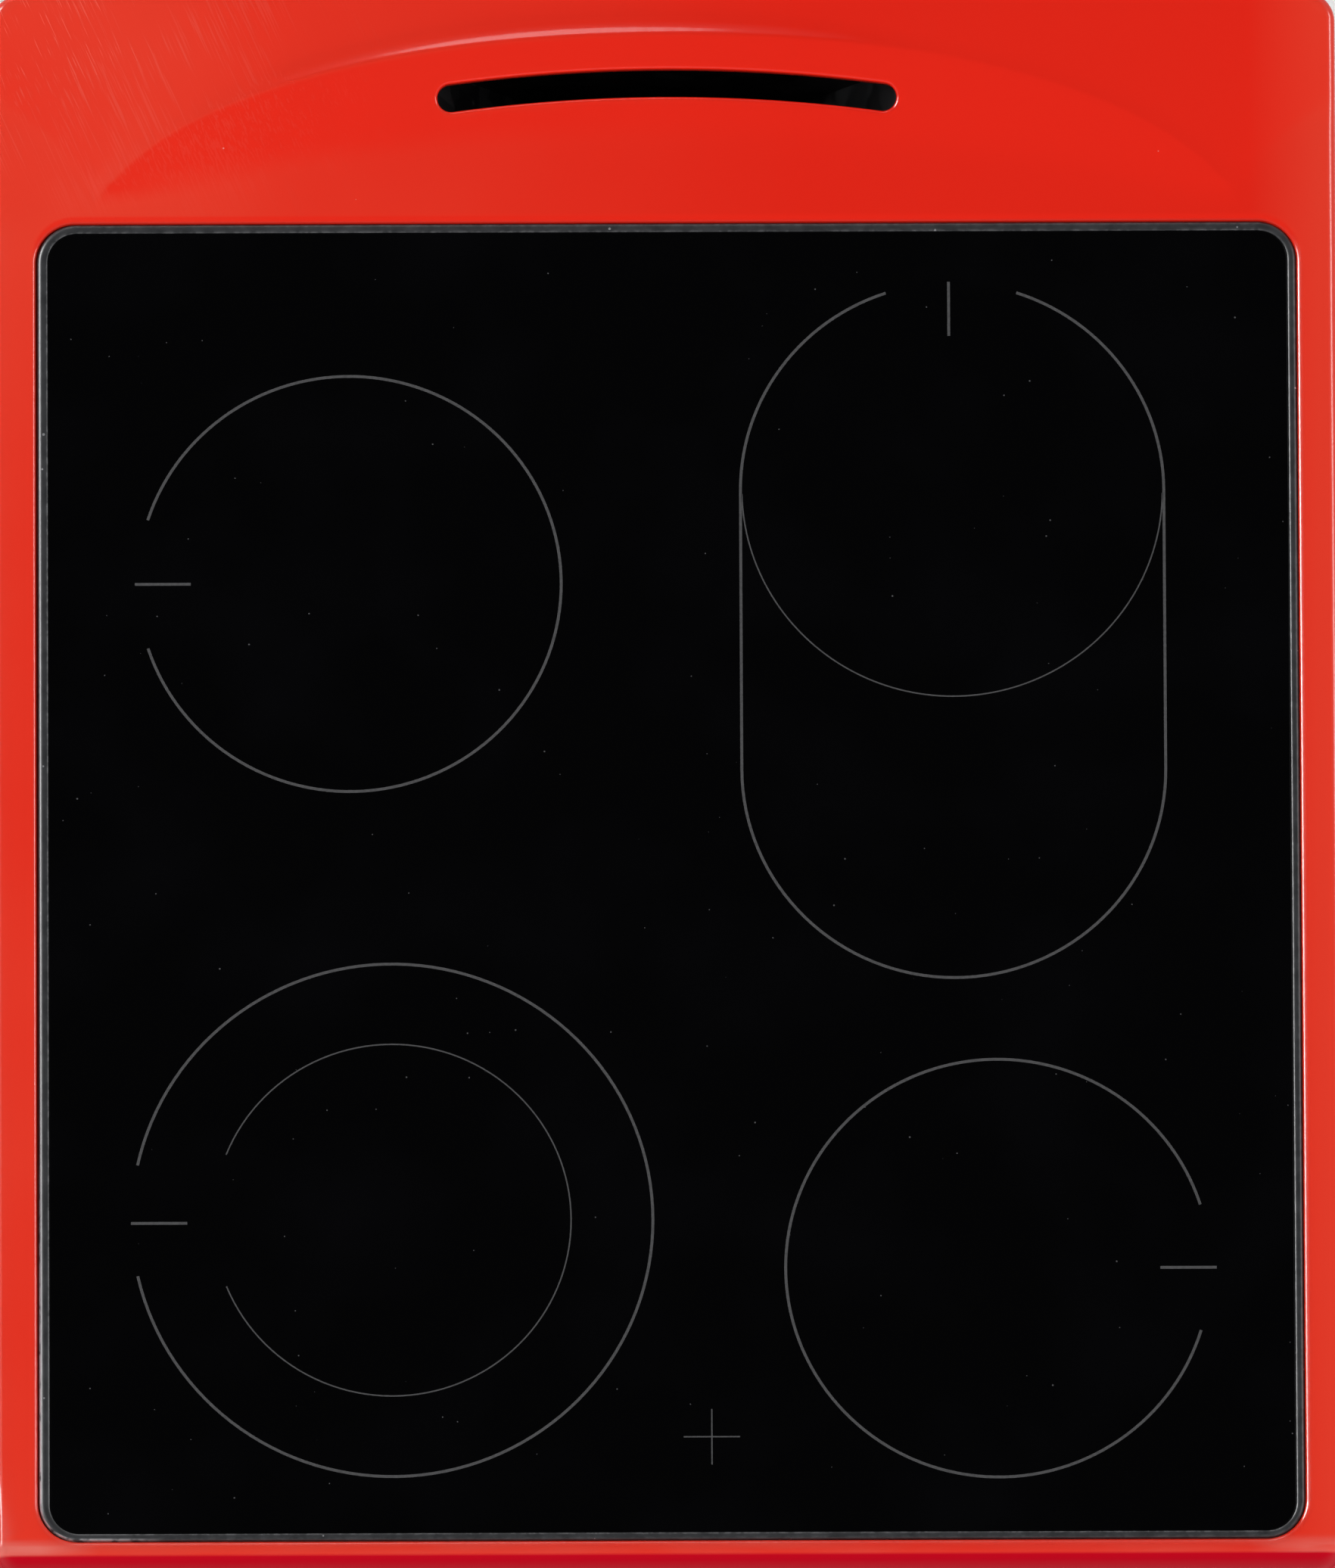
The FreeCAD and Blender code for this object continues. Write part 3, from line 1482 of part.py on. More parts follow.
def door_inner_glass():
    lap = inner_glass_lap
    face = door_back_y - liner_sheet
    return front_plate(-window_half - lap, window_half + lap, door_low + window_low - lap,
                       door_top - window_high + lap, face - inner_glass, face, window_corner)


def handle_bar_solid():
    return rod(Vector(-handle_half, handle_y, handle_z), Vector(handle_half, handle_y, handle_z), handle_bar)


def door_handle_bar():
    bar = handle_bar_solid()
    ends = [edge for edge in bar.Edges if edge.BoundBox.XLength < pin_play]
    return bar.makeChamfer(handle_end_chamfer, ends)


def handle_post(x):
    foot = rounded_wire(x - handle_foot_half, x + handle_foot_half, handle_z - handle_foot_high,
                        handle_z + handle_foot_high, handle_foot_high / 2, upright_at(fascia_y))
    neck = rounded_wire(x - handle_neck_half, x + handle_neck_half, handle_z - handle_neck_high,
                        handle_z + handle_neck_high, handle_neck_high / 2, upright_at(handle_y))
    post = tapered(foot, neck).cut(handle_bar_solid())
    inside = fascia_y + door_glass + door_frame_sheet
    end = inside + handle_stud_head_thick
    stud = rod(Vector(x, fascia_y, handle_z), Vector(x, inside, handle_z), handle_stud)
    return post.fuse(stud).fuse(rod(Vector(x, inside, handle_z), Vector(x, end, handle_z), handle_stud_head))


def door_handle_posts():
    return group([handle_post(-handle_post_at), handle_post(handle_post_at)])


# Hinges: a fixed arm hooked through the front frame, and a channel with the pin in the door

def hinge_arm(x):
    half = hinge_arm_thick / 2
    high = hinge_arm_high / 2
    hook_y = behind_frame_y + slide_play
    hook_back_y = hook_y + hinge_hook_long
    back = behind_frame_y + hinge_arm_back
    low = hinge_z - high
    outline = polygon([Vector(x - half, y, z) for y, z in (
        (hinge_y, low), (hook_y, low), (hook_y, low - hinge_hook_drop), (hook_back_y, low - hinge_hook_drop),
        (hook_back_y, low), (back, hinge_z - high / 2), (back, hinge_z + high), (hinge_y, hinge_z + high))])
    arm = prism(outline, Vector(2 * half, 0, 0))
    arm = arm.fuse(rod(Vector(x - half, hinge_y, hinge_z), Vector(x + half, hinge_y, hinge_z), hinge_eye))
    return arm.cut(rod(Vector(x - side_x, hinge_y, hinge_z), Vector(x + side_x, hinge_y, hinge_z),
                       hinge_pin + pin_play))


def hinge_arms():
    return group([hinge_arm(-hinge_at), hinge_arm(hinge_at)])


def hinge_channel(x):
    half = hinge_shell_wide / 2
    thick = hinge_shell_thick
    y0 = fascia_y + door_glass + door_frame_sheet
    y1 = y0 + hinge_shell_deep
    low = hinge_z - hinge_eye
    shell = box(x - half, x + half, y0, y1, low, low + hinge_shell_high)
    shell = shell.cut(box(x - half + thick, x + half - thick, y0 + thick, y1 + overrun, low - overrun,
                          low + hinge_shell_high - thick))
    shell = shell.cut(box(x - half - overrun, x + half + overrun, hinge_y + hinge_eye, y1 + overrun,
                          low - overrun, hinge_z - hinge_pin))
    return shell.fuse(rod(Vector(x - half, hinge_y, hinge_z), Vector(x + half, hinge_y, hinge_z), hinge_pin))


def hinge_channels():
    return group([hinge_channel(-hinge_at), hinge_channel(hinge_at)])


# Storage drawer

def drawer_back_of_front():
    return fascia_y + drawer_front_deep


def drawer_block(grow, top):
    half = drawer_half - grow
    y0 = drawer_back_of_front() + grow
    y1 = drawer_back_of_front() + drawer_long - grow
    low = drawer_base_z + grow
    body = box(-half, half, y0, y1, low, top)
    ridge_low = drawer_base_z + drawer_ridge_low + grow
    ridge_high = ridge_low + drawer_ridge_high - 2 * grow
    out = drawer_half + drawer_ridge_out - grow
    return body.fuse(box(-out, out, y0, y1, ridge_low, ridge_high))


def drawer_box():
    sheet = casing_sheet
    top = drawer_base_z + drawer_side_top
    tray = drawer_block(0, top)
    y0 = drawer_back_of_front()
    y1 = y0 + drawer_long
    hem = box(-drawer_half - drawer_hem, drawer_half + drawer_hem, y0, y1, top - sheet, top)
    return tray.fuse(hem).cut(drawer_block(sheet, top + overrun))


def drawer_front_block(grow):
    half = side_x - grow
    y0 = fascia_y + grow
    block = box(-half, half, y0, drawer_back_of_front() - grow, drawer_low + grow, drawer_top - grow)
    edge = drawer_front_edge - grow
    block = block.makeFillet(edge, edges_before(block, y0 + pin_play))
    grip = drawer_grip_half + grow
    y = fascia_y + drawer_front_edge
    radius = drawer_grip_radius + grow
    return block.cut(rod(Vector(-grip, y, drawer_top), Vector(grip, y, drawer_top), radius))


# A hollow front whose back is folded in as a hem, screwed to the drawer box
def drawer_front():
    front = drawer_front_block(0).cut(drawer_front_block(enamel_sheet))
    hem = drawer_front_hem
    y1 = drawer_back_of_front()
    return front.cut(box(-side_x + hem, side_x - hem, y1 - 2 * enamel_sheet, y1 + overrun,
                         drawer_low + hem, drawer_top - hem))


def drawer_runner():
    play = slide_play
    ridge_low = drawer_base_z + drawer_ridge_low
    ridge_top = ridge_low + drawer_ridge_high
    sheet = runner_sheet
    x0 = drawer_half + drawer_ridge_out - runner_lap
    y0 = behind_frame_y + casing_sheet
    y1 = drawer_back_of_front() + drawer_long
    z0 = ridge_low - play - sheet
    z1 = ridge_top + play + sheet
    rail = box(x0, inner_x, y0, y1, z0, z1)
    return rail.cut(box(x0 - overrun, inner_x - sheet, y0 - overrun, y1 + overrun, z0 + sheet, z1 - sheet))


def drawer_runners():
    return group(both_sides(drawer_runner()))


# Every sub-part by its name

def knob_names():
    return ("rear_left", "front_left", "oven_mode", "oven_heat", "front_right", "rear_right")


def foot_names():
    return ("front_left", "front_right", "rear_left", "rear_right")


def all_parts():
    parts = {
        "base_pan": base_pan(), "side_panel_left": side_panel_left(), "side_panel_right": side_panel_right(),
        "back_panel": back_panel(), "front_frame": front_frame(), "oven_cavity": oven_cavity(),
        "insulation_wrap": insulation_wrap(), "door_gasket": door_gasket(), "hinge_arms": hinge_arms(),
        "hob_top": hob_top(), "glass_trim": glass_trim(), "ceramic_glass": ceramic_glass(),
        "heater_dishes": heater_dishes(), "heater_insulations": heater_insulations(),
        "heater_ribbons": heater_ribbons(), "heater_limiters": heater_limiters(),
        "heater_crossbars": heater_crossbars(), "control_panel": control_panel(),
        "hob_regulators": hob_regulators(), "oven_selector": oven_selector(),
        "oven_thermostat": oven_thermostat(), "pilot_lenses": pilot_lenses(),
        "grill_element": grill_element(), "floor_element": floor_element(), "lamp_holder": lamp_holder(),
        "lamp_cover": lamp_cover(), "shelf_guides": shelf_guides(), "wire_shelf": wire_shelf(),
        "baking_tray": baking_tray(), "fan_cover": fan_cover(), "fan_motor": fan_motor(),
        "fan_impeller": fan_impeller(), "vent_duct": vent_duct(), "terminal_box": terminal_box(),
        "drawer_runners": drawer_runners(), "drawer_box": drawer_box(), "drawer_front": drawer_front(),
        "door_outer_glass": door_outer_glass(), "door_frame": door_frame(), "door_liner": door_liner(),
        "door_inner_glass": door_inner_glass(), "door_handle_bar": door_handle_bar(),
        "door_handle_posts": door_handle_posts(), "hinge_channels": hinge_channels()}
    for name, place in zip(foot_names(), foot_places()):
        parts["foot_" + name] = foot(place)
    lengths = (regulator_long, regulator_long, selector_long, thermostat_long, regulator_long, regulator_long)
    for name, x, long in zip(knob_names(), knob_places(), lengths):
        parts["knob_" + name] = knob(x)
        parts["spindle_" + name] = spindle(x, long)
    return parts


def main():
    os.makedirs("parts", exist_ok=True)
    for name, shape in all_parts().items():
        shape.exportStep(f"parts/{name}.step")
        print(name, len(shape.Solids), round(shape.Volume), shape.isValid())


main()
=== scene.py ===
import math

import bmesh
import bpy
from mathutils import Matrix, Vector
from mathutils.geometry import delaunay_2d_cdt


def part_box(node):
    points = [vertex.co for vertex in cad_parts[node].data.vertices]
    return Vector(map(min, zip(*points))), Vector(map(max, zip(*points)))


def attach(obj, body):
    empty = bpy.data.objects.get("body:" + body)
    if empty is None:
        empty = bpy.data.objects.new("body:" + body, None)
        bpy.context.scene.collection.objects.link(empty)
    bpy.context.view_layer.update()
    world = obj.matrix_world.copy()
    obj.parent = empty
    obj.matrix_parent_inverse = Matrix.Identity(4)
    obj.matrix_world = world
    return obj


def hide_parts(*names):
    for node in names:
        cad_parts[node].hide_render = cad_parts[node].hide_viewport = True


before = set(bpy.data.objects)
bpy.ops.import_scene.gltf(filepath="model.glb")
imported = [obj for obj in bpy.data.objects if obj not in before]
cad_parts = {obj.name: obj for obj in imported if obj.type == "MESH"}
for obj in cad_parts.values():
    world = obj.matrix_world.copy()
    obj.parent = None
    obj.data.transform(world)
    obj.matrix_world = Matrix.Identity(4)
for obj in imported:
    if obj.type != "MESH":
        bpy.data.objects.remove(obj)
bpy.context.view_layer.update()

mm = 0.001
fine = 1e-6  # closer than this, two points are one
square = ((-1, -1), (1, -1), (1, 1), (-1, 1))

print("cooker: frame loaded")


def addObject(name, data):
    made = bpy.data.objects.new(name, data)
    bpy.context.scene.collection.objects.link(made)
    return made


def addMesh(mesh, name, finish):
    data = bpy.data.meshes.new(name)
    mesh.to_mesh(data)
    mesh.free()
    data.materials.append(finish)
    return addObject(name, data)


# camera, floor and light

cameraView = {
    "target": (-0.0009, 0.0225, 0.8414),
    "distance": 15.886,
    "tilt": 11.199,
    "roll": 0.178,
    "pan": -0.465,
    "lens": 976.2,
    "nearest": 1.0,
    "furthest": 60.0,
}


def placeCamera(view):
    tilt, roll, pan = (math.radians(view[key]) for key in ("tilt", "roll", "pan"))
    right = Vector((1, 0, 0))
    ahead = Vector((0, math.sin(tilt), -math.cos(tilt)))
    up = Vector((0, math.cos(tilt), math.sin(tilt)))
    right, ahead = (right * math.cos(pan) + ahead * math.sin(pan),
                    ahead * math.cos(pan) - right * math.sin(pan))
    right, up = (right * math.cos(roll) - up * math.sin(roll),
                 right * math.sin(roll) + up * math.cos(roll))
    data = bpy.data.cameras.new("hobCamera")
    data.lens = view["lens"]
    data.clip_start, data.clip_end = view["nearest"], view["furthest"]
    camera = addObject("hobCamera", data)
    turn = Matrix((right, up, -ahead)).transposed().to_4x4()
    camera.matrix_world = Matrix.Translation(Vector(view["target"]) - ahead * view["distance"]) @ turn
    bpy.context.scene.camera = camera


lampPlan = {  # place, size and watts of each soft box; all look at the hob, some only light and some only shine
    "highBox": {"at": (-3.2, 0.5, 4.4), "size": (1.8, 1.8), "watts": 31, "shines": False},
    "leftBox": {"at": (-5.2, 1.0, 3.2), "size": (3.2, 1.3), "watts": 80, "lights": False},
    "leftShine": {"at": (-4.9, 2.4, 3.1), "size": (2.5, 2.4), "watts": 140, "lights": False},
    "rearBox": {"at": (-0.9, 5.0, 2.6), "size": (2.0, 1.1), "watts": 6},
    "rightBox": {"at": (5.0, 0.6, 3.0), "size": (2.4, 0.8), "watts": 21},
    "frontBox": {"at": (1.6, -5.4, 1.7), "size": (3.4, 1.8), "watts": 55, "shines": False},
}
lampAim = Vector((0, 0, 0.6))
lampSpread = 100.0


def hangLamps(plan):
    for name, lamp in plan.items():
        data = bpy.data.lights.new(name, "AREA")
        data.shape = "RECTANGLE"
        data.size, data.size_y = lamp["size"]
        data.energy = lamp["watts"]
        data.spread = math.radians(lampSpread)
        box = addObject(name, data)
        box.location = lamp["at"]
        box.rotation_euler = (lampAim - Vector(lamp["at"])).to_track_quat("-Z", "Y").to_euler()
        box.visible_camera = False
        box.visible_diffuse = lamp.get("lights", True)
        box.visible_glossy = lamp.get("shines", True)


# how the materials are put together

def feed(tree, socket, value):  # a link from another socket, or a plain value; three numbers are a colour
    if isinstance(value, bpy.types.NodeSocket):
        tree.links.new(value, socket)
    elif socket.type == "RGBA" and len(value) == 3:
        socket.default_value = (*value, 1)
    else:
        socket.default_value = value


def addNode(tree, kind, inputs=None, **settings):
    node = tree.nodes.new("ShaderNode" + kind)
    for name, value in settings.items():
        setattr(node, name, value)
    for name, value in (inputs or {}).items():
        feed(tree, node.inputs[name], value)
    return node


def startGroup(name, output, **inputs):
    group = bpy.data.node_groups.new(name, "ShaderNodeTree")
    for label, value in inputs.items():
        kind = "NodeSocketVector" if isinstance(value, tuple) else "NodeSocketFloat"
        group.interface.new_socket(label, in_out="INPUT", socket_type=kind).default_value = value
    group.interface.new_socket(output, in_out="OUTPUT", socket_type="NodeSocketFloat")
    return group, group.nodes.new("NodeGroupInput").outputs, group.nodes.new("NodeGroupOutput").inputs[0]


def useGroup(tree, group, **inputs):
    node = tree.nodes.new("ShaderNodeGroup")
    node.node_tree = group
    for label, value in inputs.items():
        feed(tree, node.inputs[label], value)
    return node.outputs[0]


def math2(tree, operation, first, second=0.0, clamp=False):
    return addNode(tree, "Math", {0: first, 1: second}, operation=operation, use_clamp=clamp).outputs[0]


def plus(tree, first, second):
    return math2(tree, "ADD", first, second)


def times(tree, first, *others, clamp=False):
    for other in others:
        first = math2(tree, "MULTIPLY", first, other, clamp)
    return first


def blend(tree, share, first, second, mode="MIX"):
    return addNode(tree, "Mix", {0: share, 6: first, 7: second}, data_type="RGBA", blend_type=mode).outputs[2]


def blendValues(tree, share, first, second):  # the first where the share is 1, the second where it is 0
    return plus(tree, times(tree, share, first), times(tree, math2(tree, "SUBTRACT", 1.0, share), second))


def spread(tree, value, span, kind="LINEAR"):  # the span is two values, and then what comes out at both
    low, high, toLow, toHigh = (*span, 0.0, 1.0)[:4]
    return addNode(tree, "MapRange", {"Value": value, "From Min": low, "From Max": high,
                                      "To Min": toLow, "To Max": toHigh}, interpolation_type=kind).outputs[0]


def onPart(tree):  # the place on the part, in metres
    return addNode(tree, "TexCoord").outputs["Object"]


def split(tree, vector):
    return addNode(tree, "SeparateXYZ", {0: vector}).outputs


def multiplyVectors(tree, first, second):
    return addNode(tree, "VectorMath", {0: first, 1: second}, operation="MULTIPLY").outputs[0]


def noise(tree, vector, scale, detail):
    return addNode(tree, "TexNoise", {"Vector": vector, "Scale": scale, "Detail": detail}).outputs


def fineGrainGroup():  # even noise; a stretch makes it brushed or combed
    group, given, put = startGroup("fineGrain", "Value", Stretch=(1, 1, 1), Scale=100.0, Detail=3.0)
    drawn = multiplyVectors(group, onPart(group), given["Stretch"])
    feed(group, put, noise(group, drawn, given["Scale"], given["Detail"])[0])
    return group


def specksGroup():  # small separate dots, as dust, pinholes or enamel speckle
    group, given, put = startGroup("specks", "Mask", Scale=100.0, Size=0.1, Amount=0.3)
    cell = addNode(group, "TexVoronoi", {"Vector": onPart(group), "Scale": given["Scale"]}).outputs
    parts = addNode(group, "SeparateColor", {0: cell["Color"]}).outputs
    kept = math2(group, "LESS_THAN", parts[0], given["Amount"])
    dot = math2(group, "LESS_THAN", cell["Distance"], times(group, given["Size"], parts[1]))
    feed(group, put, times(group, dot, kept))
    return group


def scratchesGroup():  # fine slanted lines in bundles
    look = {"patchScale": 28.0, "detail": 2.0, "edge": 0.78, "contrast": 9.0}
    group, given, put = startGroup("scratches", "Mask", Turn=(0, 0, 0), Scale=500.0, Length=0.02, Amount=0.3)
    where = onPart(group)
    turned = addNode(group, "Mapping", {"Vector": where, "Rotation": given["Turn"]}).outputs[0]
    thin = addNode(group, "CombineXYZ", {0: 1.0, 1: given["Length"], 2: 1.0}).outputs[0]
    line = noise(group, multiplyVectors(group, turned, thin), given["Scale"], look["detail"])[0]
    patch = noise(group, where, look["patchScale"], look["detail"])[0]
    edge = math2(group, "SUBTRACT", look["edge"], times(group, given["Amount"], patch))
    feed(group, put, times(group, math2(group, "SUBTRACT", line, edge), look["contrast"], clamp=True))
    return group


def wornEdgesGroup():  # where a surface turns sharply, broken up by noise
    look = {"contrast": 5.0, "detail": 4.0, "middle": 0.5, "broken": (0.45, 0.6)}
    group, given, put = startGroup("wornEdges", "Mask", Reach=0.001, Amount=0.5, Scale=300.0)
    rounded = addNode(group, "Bevel", {"Radius": given["Reach"]}, samples=4).outputs[0]
    plain = addNode(group, "NewGeometry").outputs["Normal"]
    same = addNode(group, "VectorMath", {0: rounded, 1: plain}, operation="DOT_PRODUCT").outputs["Value"]
    turned = times(group, math2(group, "SUBTRACT", 1.0, same), look["contrast"], clamp=True)
    patch = noise(group, onPart(group), given["Scale"], look["detail"])[0]
    lifted = plus(group, patch, math2(group, "SUBTRACT", given["Amount"], look["middle"]))
    feed(group, put, times(group, turned, spread(group, lifted, look["broken"]), clamp=True))
    return group


fineGrain = fineGrainGroup()
specks = specksGroup()
scratches = scratchesGroup()
wornEdges = wornEdgesGroup()


def grain(tree, scale, detail, stretch=(1, 1, 1)):
    return useGroup(tree, fineGrain, Stretch=stretch, Scale=scale, Detail=detail)


def startMaterial(name, color, roughness, metallic=0.0, **shaderInputs):
    made = bpy.data.materials.new(name)
    made.use_nodes = True
    tree = made.node_tree
    tree.nodes.clear()
    shader = addNode(tree, "BsdfPrincipled", {"Base Color": color, "Roughness": roughness, "Metallic": metallic,
                                              **shaderInputs})
    addNode(tree, "OutputMaterial", {"Surface": shader.outputs[0]})
    return made, tree, shader


def paint(tree, shader, color, rough=None):
    feed(tree, shader.inputs["Base Color"], color)
    if rough is not None:
        feed(tree, shader.inputs["Roughness"], rough)


def addBump(tree, shader, height, depth, strength):
    bump = addNode(tree, "Bump", {"Height": height, "Distance": depth, "Strength": strength})
    feed(tree, shader.inputs["Normal"], bump.outputs[0])


# every span of a place is in metres on the part

def redEnamel():  # the pressed hob top, fascia and drawer front; on the hob top, painted sheen, painted highlights and painted shade
    look = {
        "red": (0.79, 0.018, 0.0075), "rough": 0.12, "roughSheened": 0.12, "roughScratched": 0.12,
        "sheenColor": (0.84, 0.060, 0.028), "sheenAcross": (0.05, -0.25), "sheenAlong": (0.10, 0.30, 0.55, 0.85),
        "sheenClouds": (0.3, 0.7, 0.5, 1.0), "sheenRight": (0.218, 0.244, 0.0, 0.55),
        "sheenSloping": (-0.19, -0.05, 0.30, 1.0), "top": (0.830, 0.834),
        "scratched": (0.88, 0.16, 0.11), "scratchTurn": -24, "scratchAcross": (-0.10, -0.24),
        "scratchAlong": (0.235, 0.30), "scratchesElsewhere": 0.015, "scratchShare": 0.24,
        "dusty": (0.9, 0.45, 0.4), "dustShare": 0.35,
        "rimSheen": (0.74, 0.062, 0.042), "rim": (-0.2625, -0.2650), "rimStreaks": (0.25, 0.7, 0.25, 0.85),
        "cornerSheen": (0.80, 0.25, 0.21), "corner": (-0.2635, -0.2665), "cornerOutward": (0.214, 0.236),
        "cornerStreaks": (0.3, 0.6, 0.1, 0.5),
        "deep": (0.56, 0.0012, 0.012), "deeper": (0.32, 0.0010, 0.008), "rolled": (-0.2692, -0.2702),
        "rolledFurther": (-0.2694, -0.2770),
    }
    made, tree, shader = startMaterial("redEnamel", look["red"], 0.13)
    place = split(tree, onPart(tree))
    top = spread(tree, place[2], look["top"])
    cloud = grain(tree, 9.0, 2.0)
    # painted sheen: paler towards the rear left and along the right edge of the top, where lamp light would catch it;
    # rougher there too
    paintedSheen = times(tree, spread(tree, place[0], look["sheenAcross"]), spread(tree, place[1], look["sheenAlong"]),
                 spread(tree, cloud, look["sheenClouds"]))
    paintedSheen = math2(tree, "MAXIMUM", paintedSheen, times(tree, spread(tree, place[0], look["sheenRight"]), top))
    facing = split(tree, addNode(tree, "NewGeometry").outputs["Normal"])[1]
    paintedSheen = times(tree, paintedSheen, spread(tree, facing, look["sheenSloping"]))  # painted sheen, less on the hump's sloping face
    color = blend(tree, paintedSheen, look["red"], look["sheenColor"])

    near = times(tree, spread(tree, place[0], look["scratchAcross"]), spread(tree, place[1], look["scratchAlong"]))
    lines = useGroup(tree, scratches, Turn=(0, 0, math.radians(look["scratchTurn"])), Scale=1500.0, Length=0.02,
                     Amount=0.46)
    lines = times(tree, lines, plus(tree, near, look["scratchesElsewhere"]))
    color = blend(tree, times(tree, lines, look["scratchShare"]), color, look["scratched"])
    dust = useGroup(tree, specks, Scale=120.0, Size=0.05, Amount=0.10)
    color = blend(tree, times(tree, dust, look["dustShare"]), color, look["dusty"])

    streaks = grain(tree, 170.0, 3.0, (0.12, 1, 1))
    # painted highlight: a pale streaky band along the glass pocket's front edge
    rim = times(tree, spread(tree, place[1], look["rim"]), spread(tree, streaks, look["rimStreaks"]), top)
    color = blend(tree, rim, color, look["rimSheen"])
    # painted highlight: pale streaks at the glass pocket's front corners
    outward = spread(tree, math2(tree, "ABSOLUTE", place[0]), look["cornerOutward"])
    patch = times(tree, spread(tree, place[1], look["corner"]), spread(tree, streaks, look["cornerStreaks"]),
                  outward, top)
    color = blend(tree, patch, color, look["cornerSheen"])
    # painted shade on the roll-over at the front edge, darkest furthest down
    deep = blend(tree, spread(tree, place[1], look["rolledFurther"]), look["deep"], look["deeper"])
    rolled = times(tree, spread(tree, place[1], look["rolled"]), top)
    color = blend(tree, rolled, color, deep)  # painted shade: darker over the front edge's roll-over

    rough = plus(tree, times(tree, paintedSheen, look["roughSheened"]), look["rough"])
    paint(tree, shader, color, plus(tree, rough, times(tree, lines, look["roughScratched"])))
    addBump(tree, shader, grain(tree, 160.0, 1.0), depth=0.00012, strength=0.5)
    return made


def redPaint():  # the side sheets
    look = {"red": (0.74, 0.026, 0.014), "duller": (0.72, 0.024, 0.013), "brighter": (0.76, 0.028, 0.015),
            "rough": (0.0, 1.0, 0.25, 0.28)}
    made, tree, shader = startMaterial("redPaint", look["red"], 0.24)
    cloud = grain(tree, 3.0, 0.0)
    paint(tree, shader, blend(tree, cloud, look["duller"], look["brighter"]), spread(tree, cloud, look["rough"]))
    addBump(tree, shader, grain(tree, 150.0, 1.0), depth=0.00012, strength=0.4)
    return made


def zincSteel():  # galvanised sheet with its crystals, and painted shade: nearly black under the hob top and in the duct below the slot
    look = {"grey": (0.6, 0.61, 0.62), "darker": (0.50, 0.51, 0.53), "paler": (0.68, 0.69, 0.70),
            "rough": (0.0, 1.0, 0.34, 0.52), "bend": (0.012, 0.012, 0.012), "underShade": (0.022, 0.022, 0.024),
            "shadeAbove": (0.68, 0.76), "shadeAhead": (0.308, 0.304), "shadeShare": 0.9}
    made, tree, shader = startMaterial("zincSteel", look["grey"], 0.42, 1.0)
    where = onPart(tree)
    bent = noise(tree, where, 90.0, 3.0)[1]
    moved = addNode(tree, "VectorMath", {0: bent, 1: look["bend"], 2: where}, operation="MULTIPLY_ADD").outputs[0]
    flake = addNode(tree, "TexVoronoi", {"Vector": moved, "Scale": 95.0}).outputs["Color"]
    shade = addNode(tree, "SeparateColor", {0: flake}).outputs[0]
    place = split(tree, where)
    # painted shade: high up and in front of the back panel, under the hob top, the sheet is darkened nearly to black
    paintedUnderShade = times(tree, spread(tree, place[2], look["shadeAbove"]), spread(tree, place[1], look["shadeAhead"]),
                   look["shadeShare"])
    color = blend(tree, paintedUnderShade, blend(tree, shade, look["darker"], look["paler"]), look["underShade"])
    paint(tree, shader, color, spread(tree, shade, look["rough"]))
    addBump(tree, shader, grain(tree, 700.0, 3.0), depth=0.0001, strength=0.4)
    return made


def enamel(name, color, lighter, roughness, speckle, amount):
    look = {"clouding": 0.6, "smoother": 0.6, "rougher": 1.45}
    made, tree, shader = startMaterial(name, color, roughness)
    cloud = grain(tree, 14.0, 4.0)
    base = blend(tree, times(tree, cloud, look["clouding"]), color, lighter)
    dots = useGroup(tree, specks, Scale=600.0, Size=0.40, Amount=amount)
    rough = spread(tree, cloud, (0.0, 1.0, roughness * look["smoother"], roughness * look["rougher"]))
    paint(tree, shader, blend(tree, dots, base, speckle), rough)
    addBump(tree, shader, grain(tree, 240.0, 2.0), depth=0.0002, strength=0.5)
    return made


def plainCoat(name, color, lighter, roughness, grainScale=900.0, grainDepth=0.0001):  # paint, plastic, rubber
    look = {"wornTimes": 1.8, "wornPlus": 0.02, "wornShare": 0.5, "smoother": 0.7, "rougher": 1.3}
    made, tree, shader = startMaterial(name, color, roughness)
    cloud = grain(tree, 11.0, 4.0)
    worn = useGroup(tree, wornEdges, Reach=0.0008, Amount=0.45, Scale=260.0)
    rubbed = tuple(min(1.0, part * look["wornTimes"] + look["wornPlus"]) for part in lighter)
    rough = spread(tree, cloud, (0.0, 1.0, roughness * look["smoother"], roughness * look["rougher"]))
    base = blend(tree, cloud, color, lighter)
    paint(tree, shader, blend(tree, times(tree, worn, look["wornShare"]), base, rubbed), rough)
    addBump(tree, shader, grain(tree, grainScale, 2.0), grainDepth, strength=0.6)
    return made


def drawnSteel(name, color, darker, roughness, stretch, depth=0.00006):  # brushed, drawn or oxidised metal
    look = {"contrast": (0.3, 0.7), "smoother": 0.75, "rougher": 1.3}
    made, tree, shader = startMaterial(name, color, roughness, 1.0)
    lines = grain(tree, 1400.0, 3.0, stretch)
    cloud = grain(tree, 30.0, 3.0)
    shade = times(tree, plus(tree, lines, cloud), 0.5)
    rough = spread(tree, lines, (*look["contrast"], roughness * look["smoother"], roughness * look["rougher"]))
    paint(tree, shader, blend(tree, spread(tree, shade, look["contrast"]), darker, color), rough)
    addBump(tree, shader, lines, depth, strength=0.5)
    return made


